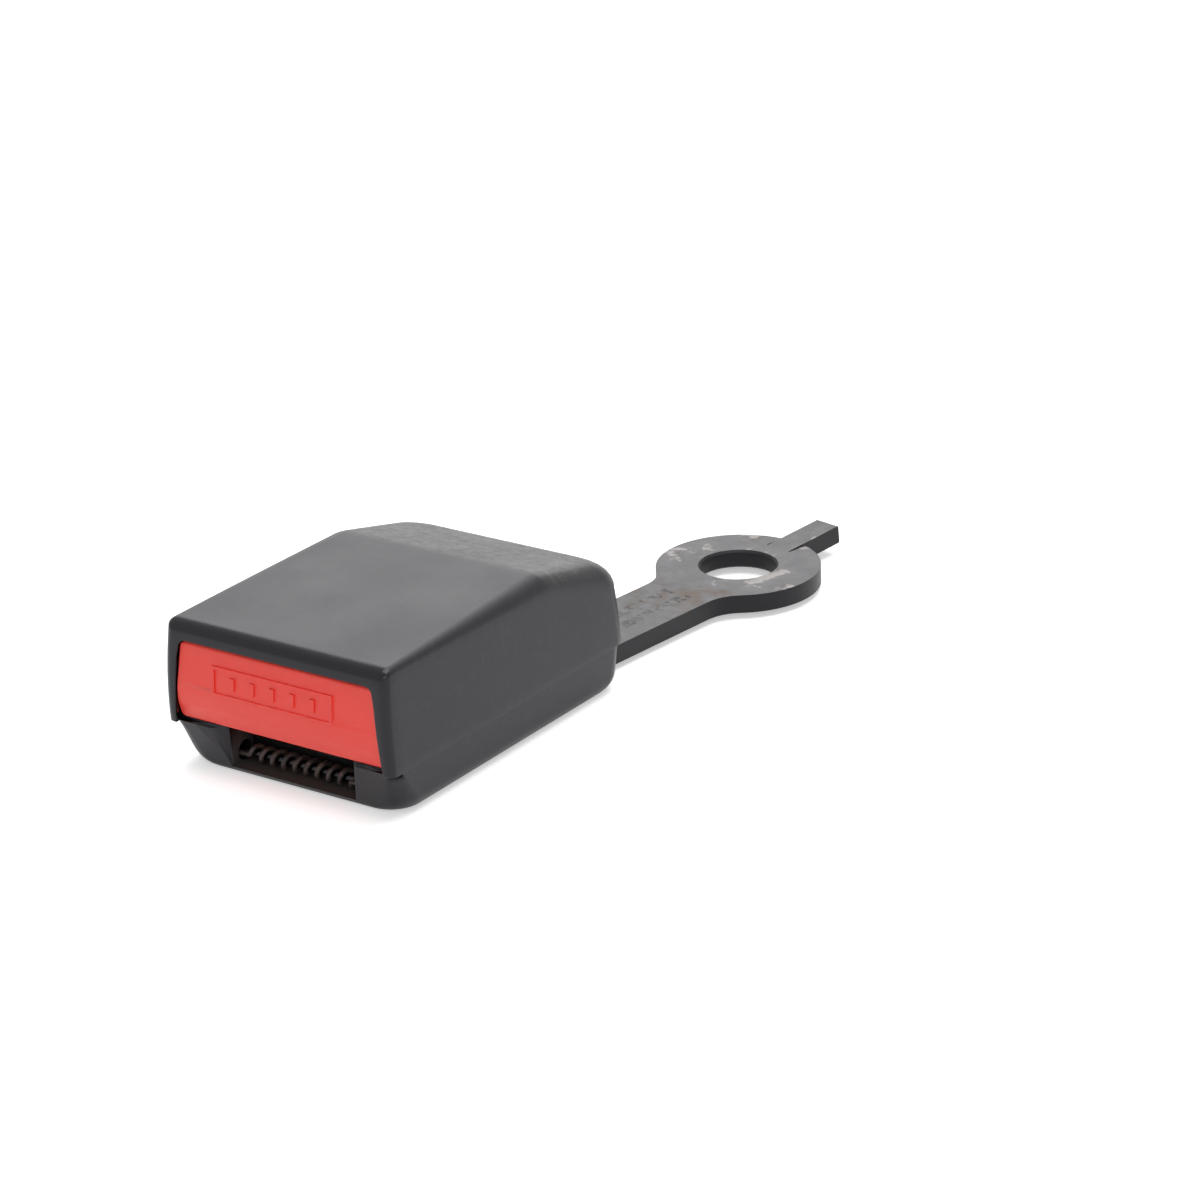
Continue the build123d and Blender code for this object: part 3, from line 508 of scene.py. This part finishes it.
def roof_incline(y):
    """Slope of the roof: a gentle climb, an eased crest, then the fall to the tail."""
    share = min(max((y - crest_y + crest_ease) / (2 * crest_ease), 0.0), 1.0)
    return roof_slope + (tail_slope - roof_slope) * share


def roof_height(y):
    """Height of the roof along the head."""
    past = y - crest_y
    if abs(past) >= crest_ease:
        return crest_z + past * (roof_slope if past < 0 else tail_slope)
    fallen = (tail_slope - roof_slope) * (past + crest_ease) ** 2 / (4 * crest_ease)
    return crest_z + past * roof_slope + fallen


def half_width(y):
    """Half the cover's width at the parting line."""
    middle = cover_length / 2
    return cover_half - side_bow * ((y - middle) / middle) ** 2


def wall_lean(wall, z):
    """How far a wall stands in from its foot at a height."""
    if wall == FRONT:
        return front_set + front_swell * ((z - front_middle_z) / front_reach) ** 2
    share = max(z - split_z, 0.0) / wall_rise
    return (side_lean * share**1.4) if wall == SIDE else (rear_lean * share**1.8)


def shoulder_radius(wall, y):
    """Radius between wall and roof: tight in front, wide at the rear corners."""
    if wall == FRONT:
        return front_shoulder
    if wall == REAR:
        return rear_shoulder
    share = min(max(y / side_shoulder_run, 0.0), 1.0)
    return side_shoulder + side_shoulder_gain * share**1.3


def wall_rows(wall, y):
    """Rows of (inset, height) up a wall and round its shoulder on to the roof."""
    z = crest_z
    toward = {FRONT: 1, SIDE: 0, REAR: -1}[wall]
    for _ in range(6):       # settles where the wall and the roof would meet
        z = roof_height(y + toward * wall_lean(wall, z))
    lean = wall_lean(wall, z)
    slope = roof_incline(y + toward * lean)
    below = 0.1
    steep = (lean - wall_lean(wall, z - below)) / below
    down, inward = Vector((-steep, -1)).normalized(), Vector((1, slope * toward)).normalized()
    corner = down.angle(inward)
    radius = shoulder_radius(wall, y)
    reach = radius / tan(corner / 2)
    edge = Vector((lean, z))
    centre = edge + (down + inward).normalized() * (radius / sin(corner / 2))
    start, end = edge + down * reach - centre, edge + inward * reach - centre
    turned = start.angle(end)
    wall_top = edge.y - reach
    knee = min(opening_top_z - opening_round, split_z + band_share * (wall_top - split_z))
    heights = spread(split_z, knee, low_rows + 1)[:-1]
    heights += spread(knee, (centre + start).y, band_rows + 1)[:-1]
    rows = [Vector((wall_lean(wall, height), height)) for height in heights]
    for k in range(round_rows + 1):
        share = k / round_rows
        near = sin((1 - share) * turned) / sin(turned)
        far = sin(share * turned) / sin(turned)
        rows.append(centre + start * near + end * far)
    return rows


def end_y(wall):
    return 0.0 if wall == FRONT else cover_length


def corner_point(side, wall, k, turn):
    """A point of a rounded upright corner at a row, turned from the side to the end."""
    arc, tip = (front_arc, front_tip) if wall == FRONT else (rear_arc, rear_tip)
    y = arc if wall == FRONT else cover_length - arc
    side_rows, end_rows = wall_rows(SIDE, y), wall_rows(wall, end_y(wall))
    share = max(k - low_rows - band_rows, 0) / round_rows
    radius = arc + (tip - arc) * share
    (side_in, side_z), (end_in, end_z) = side_rows[k], end_rows[k]
    inner_x = half_width(y) - side_in - radius
    inner_y = end_in + radius if wall == FRONT else cover_length - end_in - radius
    toward = -1 if wall == FRONT else 1
    place_y = inner_y + toward * radius * sin(turn)
    z = side_z * cos(turn) ** 2 + end_z * sin(turn) ** 2
    top = side_rows[-1].y * cos(turn) ** 2 + end_rows[-1].y * sin(turn) ** 2
    rim_in = end_rows[-1].x + tip
    rim_y = rim_in if wall == FRONT else cover_length - rim_in
    z += share * (roof_height(rim_y + toward * tip * sin(turn)) - top)
    return Vector((side * (inner_x + radius * cos(turn)), place_y, z))


def opening_edge(z):
    """Half the opening's width at a height: it leans out towards its foot."""
    share = max((opening_top_z - z) / (opening_top_z - opening_low_z), 0.0)
    return opening_top_half + (opening_low_half - opening_top_half) * share


def rim_columns():
    """Columns of points up the walls, keyed by their place on the roof grid's rim."""
    inner_x = opening_top_half - opening_round
    lip = [inner_x + opening_round * cos(radians(a)) for a in (67.5, 45, 22.5)]
    half = [inner_x, *lip, opening_top_half]
    across = [-x for x in reversed(half)] + spread(-inner_x, inner_x, 23)[1:-1] + half
    down = spread(first_row_y, crest_y - crest_ease, 16)
    down += [crest_y + crest_ease * share for share in (-0.5, 0.0, 0.5)]
    down += spread(crest_y + crest_ease, last_row_y, 6)
    edge_i = front_steps + 2
    nx = len(across) - 1 + 2 * edge_i
    ny = len(down) + 1 + front_steps + rear_steps
    rows = low_rows + band_rows + round_rows + 1
    columns = {}
    for side, i in ((-1, 0), (1, nx)):
        for j, y in enumerate(down, front_steps + 1):
            line = wall_rows(SIDE, y)
            columns[i, j] = [Vector((side * (half_width(y) - row.x), y, row.y)) for row in line]
        for wall, steps in ((FRONT, front_steps), (REAR, rear_steps)):
            for k in range(-steps, steps + 1):
                turn = pi / 4 * (1 + k / steps)
                i_key = max(k, 0) if side < 0 else nx - max(k, 0)
                j_key = max(-k, 0) if wall == FRONT else ny - max(-k, 0)
                columns[i_key, j_key] = [corner_point(side, wall, r, turn) for r in range(rows)]
        # the pillar beside the opening: its edge and one column across it
        outer = columns[front_steps if side < 0 else nx - front_steps, 0]
        edge = [Vector((side * opening_edge(p.z), p.y, p.z)) for p in outer]
        columns[edge_i if side < 0 else nx - edge_i, 0] = edge
        middle = [(a + b) / 2 for a, b in zip(outer, edge)]
        columns[edge_i - 1 if side < 0 else nx - edge_i + 1, 0] = middle
    front = wall_rows(FRONT, 0.0)
    for i, x in enumerate(across[1:-1], edge_i + 1):
        over = max(abs(x) - inner_x, 0.0)
        start = opening_top_z - opening_round + sqrt(opening_round**2 - over**2)
        top = front[low_rows + band_rows]
        heights = spread(start, top.y, band_rows + 1)[:-1]
        line = [Vector((x, wall_lean(FRONT, z), z)) for z in heights]
        line += [Vector((x, row.x, row.y)) for row in front[low_rows + band_rows :]]
        columns[i, 0] = [None] * low_rows + line
    rear = wall_rows(REAR, cover_length)
    left, right = columns[rear_steps, ny], columns[nx - rear_steps, ny]
    for i in range(rear_steps + 1, nx - rear_steps):
        share = (i - rear_steps) / (nx - 2 * rear_steps)
        columns[i, ny] = [
            Vector((a.x + (b.x - a.x) * share, cover_length - row.x, row.y))
            for a, b, row in zip(left, right, rear)
        ]
    return columns, nx, ny


def roof_points(columns, nx, ny):
    """Places of the roof's grid between its rims."""
    rim = {key: line[-1] for key, line in columns.items()}
    places = {}
    for i in range(1, nx):
        for j in range(1, ny):
            u, v = i / nx, j / ny
            sides = rim[0, j].lerp(rim[nx, j], u)
            ends = rim[i, 0].lerp(rim[i, ny], v)
            near, far = rim[0, 0].lerp(rim[nx, 0], u), rim[0, ny].lerp(rim[nx, ny], u)
            place = sides + ends - near.lerp(far, v)
            if front_steps < j < ny - rear_steps:
                place.y = rim[0, j].y
            places[i, j] = Vector((place.x, place.y, roof_height(place.y)))
    return places


def cover_outside():
    """Outer surface of the upper cover, with the button's opening left out."""
    columns, nx, ny = rim_columns()
    work = bmesh.new()
    walls = {
        key: [p and work.verts.new(at(*p)) for p in line] for key, line in columns.items()
    }
    roof = {key: work.verts.new(at(*p)) for key, p in roof_points(columns, nx, ny).items()}
    roof.update({key: line[-1] for key, line in walls.items()})
    for i in range(nx):
        for j in range(ny):
            ring = ((i, j), (i + 1, j), (i + 1, j + 1), (i, j + 1))
            work.faces.new([roof[key] for key in ring])
    ring = [(i, 0) for i in range(nx)] + [(nx, j) for j in range(ny)]
    ring += [(i, ny) for i in range(nx, 0, -1)] + [(0, j) for j in range(ny, 0, -1)]
    for here, after in zip(ring, ring[1:] + ring[:1]):
        first, second = walls[here], walls[after]
        for low, high, up, across in zip(first, first[1:], second[1:], second):
            if None not in (low, high, up, across):
                work.faces.new((low, across, up, high))
    weight = work.edges.layers.float.new("bevel_weight_edge")
    for edge in work.edges:
        edge[weight] = 1.0 if edge.is_boundary else 0.0
    turn_outward(work)
    return mesh_of(work, "moulded_upper_cover")


def turn_outward(work):
    """Turns the faces of an open shell outward."""
    bmesh.ops.recalc_face_normals(work, faces=work.faces)
    middle = sum((v.co for v in work.verts), Vector()) / len(work.verts)
    if sum((f.calc_center_median() - middle).dot(f.normal) for f in work.faces) < 0:
        bmesh.ops.reverse_faces(work, faces=work.faces)


def moulded_upper_cover():
    """The shell: its skin thickened inwards and its rims broken."""
    mesh = cover_outside()
    smooth_but(mesh, 30.0)
    piece = new_piece("moulded_upper_cover", mesh, node="upper_cover")
    skin = piece.modifiers.new("skin", "SOLIDIFY")
    skin.thickness = cover_skin * MM
    skin.offset = -1.0
    broken = piece.modifiers.new("broken_rim", "BEVEL")
    broken.width = rim_break * MM
    broken.segments = 3
    broken.limit_method = "WEIGHT"


# ------------------------------------------------------------------ lower cover
lower_half, lower_front, lower_rear = 23.77, 1.63, 69.07
side_draft, chin_draft, heel_draft = 0.35, 2.6, 1.2      # from the parting line to the foot
side_foot, front_foot, rear_foot = 2.9, 1.1, 3.8         # rounds along the underside
chin_round, chin_round_gain, heel_round = 1.9, 3.3, 4.6  # corners in plan
lower_heights = (13.0, 8.6, 7.0, 5.4, 3.8, 3.1, 2.4, 1.8, 1.25, 0.8, 0.45, 0.18, 0.03)
cheek_inner, cheek_rear = 17.5, 7.4      # the chin's corners beside the tongue's mouth
cheek_top, cheek_low = 8.58, -1.0


def foot_inset(radius, z):
    """How far a round along the underside stands in at a height."""
    return radius - sqrt(radius**2 - (radius - z) ** 2) if z < radius else 0.0


def lower_ring(z, steps=10):
    """Plan of the lower cover at a height, with corners rounder towards its foot."""
    fall = 1 - min(z, split_z) / split_z
    half = lower_half - side_draft * fall - foot_inset(side_foot, z)
    front = lower_front + chin_draft * fall + foot_inset(front_foot, z)
    rear = lower_rear - heel_draft * fall - foot_inset(rear_foot, z)
    chin, heel = chin_round + chin_round_gain * fall**0.8, heel_round
    corners = (
        (half - chin, front + chin, chin, -90),
        (half - heel, rear - heel, heel, 0),
        (heel - half, rear - heel, heel, 90),
        (chin - half, front + chin, chin, 180),
    )
    ring = []
    for x, y, radius, start in corners:
        for k in range(steps + 1):
            turn = radians(start + 90 * k / steps)
            ring.append(at(x + radius * cos(turn), y + radius * sin(turn), z))
    return ring


def closed_loft(name, rings):
    """Closed mesh through rings of equal count."""
    work = bmesh.new()
    rows = [[work.verts.new(p) for p in ring] for ring in rings]
    for low, high in zip(rows, rows[1:]):
        for k in range(len(low)):
            after = (k + 1) % len(low)
            work.faces.new((low[k], low[after], high[after], high[k]))
    work.faces.new(rows[0])
    work.faces.new(rows[-1])
    bmesh.ops.recalc_face_normals(work, faces=work.faces)
    return mesh_of(work, name)


def combined(first, second, operation):
    """Exact Boolean of two closed meshes."""
    pair = [bpy.data.objects.new("operand", mesh) for mesh in (first, second)]
    for operand in pair:
        bpy.context.scene.collection.objects.link(operand)
    cut = pair[0].modifiers.new("cut", "BOOLEAN")
    cut.operation = operation
    cut.solver = "EXACT"
    cut.object = pair[1]
    graph = bpy.context.evaluated_depsgraph_get()
    mesh = bpy.data.meshes.new_from_object(pair[0].evaluated_get(graph))
    for operand in pair:
        bpy.data.objects.remove(operand)
    return mesh


def rounded_lower_cover():
    """The lower cover's working inside within a rounder outside."""
    mesh = joined(copy_of("lower_cover"), flat=False)
    for side in (-1, 1):
        inner, outer = side * cheek_inner, side * (lower_half + 1)
        plan = ((inner, 0.0), (outer, 0.0), (outer, cheek_rear), (inner, cheek_rear))
        rings = [[at(x, y, z) for x, y in plan] for z in (cheek_top, cheek_low)]
        block = closed_loft("cheek", rings)
        mesh = combined(mesh, block, "UNION")
    form = closed_loft("lower_form", [lower_ring(z) for z in lower_heights])
    mesh = combined(mesh, form, "INTERSECT")
    mesh.name = "rounded_lower_cover"
    softened("lower_cover", mesh, sharp_deg=40.0)


# ------------------------------------------------------------------ inside the cover
def lathed(work, axis, profile, steps=24):
    """Faces turned round an upright axis; the profile runs from radius 0 to radius 0."""
    rings = []
    for radius, z in profile:
        if radius == 0.0:
            rings.append([work.verts.new(at(*axis, z))] * steps)
            continue
        ring = []
        for turn in (tau * k / steps for k in range(steps)):
            x, y = axis[0] + radius * cos(turn), axis[1] + radius * sin(turn)
            ring.append(work.verts.new(at(x, y, z)))
        rings.append(ring)
    for low, high in zip(rings, rings[1:]):
        for k in range(steps):
            after = (k + 1) % steps
            corners = dict.fromkeys((low[k], low[after], high[after], high[k]))
            work.faces.new(list(corners))


def boss_and_rib():
    """Two hollow screw bosses under the roof and the webs that tie them to the walls."""
    work = bmesh.new()
    radius, core, screw_x, screw_y = 2.5, 1.25, 17.2, 48.4
    top, rim, foot, chamfer = 26.4, 9.0, 8.7, 0.3
    hole_end, drill_point = 15.2, 15.6
    web_x, web_top, web_half = 22.6, 22.0, 0.6
    web_inner_z, web_outer_z = 9.4, 12.0
    for side in (-1, 1):
        profile = [(0, top), (radius, top), (radius, rim), (radius - chamfer, foot)]
        profile += [(core + chamfer, foot), (core, rim), (core, hole_end), (0, drill_point)]
        lathed(work, (side * screw_x, screw_y), profile)
        # a tapered web from inside the boss's skin to the side wall
        web = []
        for x, low_z in ((screw_x + radius - chamfer, web_inner_z), (web_x, web_outer_z)):
            for y in (screw_y - web_half, screw_y + web_half):
                web += [work.verts.new(at(side * x, y, z)) for z in (low_z, web_top)]
        a, b, c, d, e, f, g, h = web
        ends, flats = ((a, b, d, c), (e, g, h, f)), ((a, e, f, b), (c, d, h, g))
        for ring in (*ends, (a, c, g, e), (b, f, h, d), *flats):
            work.faces.new(ring)
    bmesh.ops.recalc_face_normals(work, faces=work.faces)
    mesh = mesh_of(work, "boss_and_rib")
    smooth_but(mesh, 35)
    new_piece("boss_and_rib", mesh, slot="housing")


# ------------------------------------------------------------------ springs
def drawn_wire_group():
    """Geometry Nodes that sweep round wire along a piece's edges."""
    group = bpy.data.node_groups.new("drawn_wire", "GeometryNodeTree")
    kinds = {
        "Path": "NodeSocketGeometry",
        "Wire radius": "NodeSocketFloat",
        "Sides": "NodeSocketInt",
        "Finish": "NodeSocketMaterial",
    }
    for name, kind in kinds.items():
        group.interface.new_socket(name, in_out="INPUT", socket_type=kind)
    group.interface.new_socket("Wire", in_out="OUTPUT", socket_type="NodeSocketGeometry")
    given = add(group, "NodeGroupInput").outputs
    path = add(group, "GeometryNodeMeshToCurve", {"Mesh": given["Path"]}).outputs["Curve"]
    section = add(
        group,
        "GeometryNodeCurvePrimitiveCircle",
        {"Resolution": given["Sides"], "Radius": given["Wire radius"]},
    ).outputs["Curve"]
    swept = add(
        group,
        "GeometryNodeCurveToMesh",
        {"Curve": path, "Profile Curve": section, "Fill Caps": True},
    ).outputs["Mesh"]
    smooth = add(group, "GeometryNodeSetShadeSmooth", {"Geometry": swept}).outputs["Geometry"]
    real = add(group, "GeometryNodeRealizeInstances", {"Geometry": smooth}).outputs["Geometry"]
    finished = add(
        group, "GeometryNodeSetMaterial", {"Geometry": real, "Material": given["Finish"]}
    ).outputs["Geometry"]
    group.links.new(finished, add(group, "NodeGroupOutput").inputs["Wire"])
    return group


WIRE = drawn_wire_group()


def swept_wire(name, points, wire_mm):
    """Mesh of round wire through points given in the head's millimetres."""
    path = bpy.data.meshes.new(name + "_path")
    path.from_pydata([at(*p) for p in points], [(k, k + 1) for k in range(len(points) - 1)], [])
    carrier = bpy.data.objects.new(name + "_path", path)
    bpy.context.scene.collection.objects.link(carrier)
    sweep = carrier.modifiers.new("drawn_wire", "NODES")
    sweep.node_group = WIRE
    finish_material = FINISHES["spring_steel"]
    values = {"Wire radius": wire_mm / 2 * MM, "Sides": 12, "Finish": finish_material}
    for socket in WIRE.interface.items_tree:
        if socket.in_out == "INPUT" and socket.name in values:
            sweep[socket.identifier] = values[socket.name]
    graph = bpy.context.evaluated_depsgraph_get()
    mesh = bpy.data.meshes.new_from_object(carrier.evaluated_get(graph))
    mesh.name = name
    bpy.data.objects.remove(carrier)
    bpy.data.meshes.remove(path)
    return mesh


def helix(outer_mm, wire_mm, length_mm, turns, close_turns=0.0, steps=18):
    """Points round +Z from z = 0, with the pitch closed up at both ends."""
    radius = (outer_mm - wire_mm) / 2
    points = []
    for step in range(round(turns * steps) + 1):
        turn = step / steps
        from_end = min(turn, turns - turn)
        share = turn / turns
        if close_turns:
            ends = close_turns * wire_mm / length_mm
            inner = (turn - close_turns) / (turns - 2 * close_turns)
            share = ends + (1 - 2 * ends) * min(max(inner, 0.0), 1.0)
            if from_end < close_turns:
                near = from_end * wire_mm / length_mm
                share = near if turn < turns / 2 else 1 - near
        angle = tau * turn
        points.append(Vector((radius * cos(angle), radius * sin(angle), length_mm * share)))
    return points


def eased(points, reach=0.7, steps=5):
    """The same path with its sharp bends rounded over a reach, or near half a short leg."""
    bend, half_leg = radians(35), 0.45
    result = [points[0]]
    for before, here, after in zip(points, points[1:], points[2:]):
        into, out = (here - before), (after - here)
        if into.angle(out) < bend:
            result.append(here)
            continue
        start = here - into.normalized() * min(reach, into.length * half_leg)
        end = here + out.normalized() * min(reach, out.length * half_leg)
        for k in range(steps + 1):
            t = k / steps
            result.append(start * (1 - t) ** 2 + here * 2 * t * (1 - t) + end * t**2)
    return result + [points[-1]]


def wound_return_spring():
    """Torsion spring across the mouth, its long arm pushing the button forward."""
    outer, wire, turns, length = 3.5, 0.9, 9, 21.6
    axis_y, axis_z, arm_x, arm_y = 7.25, 3.05, 14.7, 5.45
    short_arm_top, long_arm_top = 7.8, 13.9
    coil = [
        Vector((p.z - length / 2, axis_y - p.x, axis_z + p.y))
        for p in helix(outer, wire, length, turns)
    ]
    first, last = coil[0], coil[-1]
    path = [Vector((-arm_x, first.y, z)) for z in (short_arm_top, first.z)]
    path += [*coil, Vector((arm_x, last.y, last.z)), Vector((arm_x, arm_y, long_arm_top))]
    mesh = swept_wire("wound_return_spring", eased(path), wire)
    piece = new_piece("wound_return_spring", mesh, node="return_spring", rides=False)
    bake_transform(piece)


def wound_ejector_spring():
    """Straight compression spring behind the ejector, on its rod."""
    outer, wire, turns = 3.7, 0.6, 9
    front, rear, axis_z = 26.1, 50.7, 6.7
    coil = helix(outer, wire, rear - front - wire, turns, close_turns=1.0)
    path = [Vector((p.x, front + wire / 2 + p.z, axis_z - p.y)) for p in coil]
    mesh = swept_wire("wound_ejector_spring", path, wire)
    piece = new_piece("wound_ejector_spring", mesh, node="ejector_spring")
    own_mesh(piece)


def wound_latch_spring():
    """Short compression spring between the latch's web and the frame's roof."""
    outer, wire, turns = 5.2, 0.7, 4
    low, high, axis_y = 14.3, 18.7, 34.0
    coil = helix(outer, wire, high - low - wire, turns, close_turns=0.75)
    path = [Vector((p.x, axis_y + p.y, low + wire / 2 + p.z)) for p in coil]
    mesh = swept_wire("wound_latch_spring", path, wire)
    piece = new_piece("wound_latch_spring", mesh, node="latch_spring")
    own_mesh(piece)


# ------------------------------------------------------------------ the refined pieces
moulded_upper_cover()
boss_and_rib()
rounded_lower_cover()
widened_button()
softened("anchor_plate")
wound_return_spring()
wound_ejector_spring()
wound_latch_spring()


# ------------------------------------------------------------------ studio
def seen_directly(tree):
    """1 for what the camera sees itself, mirrored or through glass."""
    path = add(tree, "ShaderNodeLightPath").outputs
    seen = maths(tree, "MAXIMUM", path["Is Camera Ray"], path["Is Glossy Ray"])
    return maths(tree, "MAXIMUM", seen, path["Is Transmission Ray"])


def studio():
    """Pale floor under a white surround, both brighter to the eye than as lamps."""
    half = 3.0
    floor_glow, surround_light, surround_seen = 0.45, 0.35, 0.65
    mesh = bpy.data.meshes.new("studio_floor")
    corners = [(-half, -half), (half, -half), (half, half), (-half, half)]
    mesh.from_pydata([(x, y, floor_z) for x, y in corners], [], [(0, 1, 2, 3)])
    floor = bpy.data.objects.new("studio_floor", mesh)
    bpy.context.scene.collection.objects.link(floor)
    material, tree, shader, _ = blank("white_sweep")
    finish(tree, shader, Base_Color=paint("#F4F4F4"), Roughness=0.9, Specular_IOR_Level=0.0)
    glow = {"Color": paint("#FFFFFF"), "Strength": times(tree, seen_directly(tree), floor_glow)}
    glow = add(tree, "ShaderNodeEmission", glow)
    both = add(tree, "ShaderNodeAddShader", {0: shader.outputs[0], 1: glow.outputs[0]})
    tree.links.new(both.outputs[0], tree.nodes["Material Output"].inputs["Surface"])
    mesh.materials.append(material)

    world = bpy.data.worlds.new("white_surround")
    bpy.context.scene.world = world
    world.use_nodes = True
    tree = world.node_tree
    level = times(tree, seen_directly(tree), surround_seen)
    level = maths(tree, "ADD", surround_light, level)
    finish(tree, tree.nodes["Background"], Color=paint("#FFFFFF"), Strength=level)


def lamp(name, place, aim, size, watts):
    """A rectangular soft lamp that faces its aim."""
    light = bpy.data.lights.new(name, "AREA")
    light.shape = "RECTANGLE"
    light.size, light.size_y = size
    light.energy = watts
    lamp_object = bpy.data.objects.new(name, light)
    lamp_object.location = place
    toward = Vector(aim) - Vector(place)
    lamp_object.rotation_euler = toward.to_track_quat("-Z", "Y").to_euler()
    bpy.context.scene.collection.objects.link(lamp_object)


head_centre = (head_x, front_y + 35 * MM, floor_z + 14 * MM)
studio()
lamp("overhead_softbox", (0.0, 0.1, 0.9), head_centre, (0.9, 0.9), 8.0)
lamp("front_softbox", (0.55, -0.8, 0.5), head_centre, (0.7, 0.5), 2.0)
lamp("back_softbox", (-0.6, 0.85, 0.5), head_centre, (0.9, 0.5), 2.4)


# ------------------------------------------------------------------ camera
def camera():
    """Long-lens view from the front right, a little above."""
    azimuth, elevation, roll = radians(35.267), radians(22.081), radians(-2.009)
    target = Vector((1.759, -47.68, 11.729)) * MM
    distance = 678.3 * MM
    level = cos(elevation)
    back = Vector((sin(azimuth) * level, -cos(azimuth) * level, sin(elevation)))
    right = Vector((cos(azimuth), sin(azimuth), 0))
    up = back.cross(right)
    across = cos(roll) * right + sin(roll) * up
    upright = -sin(roll) * right + cos(roll) * up
    data = bpy.data.cameras.new("long_lens")
    data.sensor_width = 36.0
    data.lens = 115.22
    data.clip_start, data.clip_end = 0.01, 20.0
    view = bpy.data.objects.new("long_lens", data)
    turn = Matrix((across, upright, back)).transposed().to_4x4()
    view.matrix_world = Matrix.Translation(target + back * distance) @ turn
    bpy.context.scene.collection.objects.link(view)
    bpy.context.scene.camera = view


camera()
bpy.context.scene.view_settings.view_transform = "Standard"
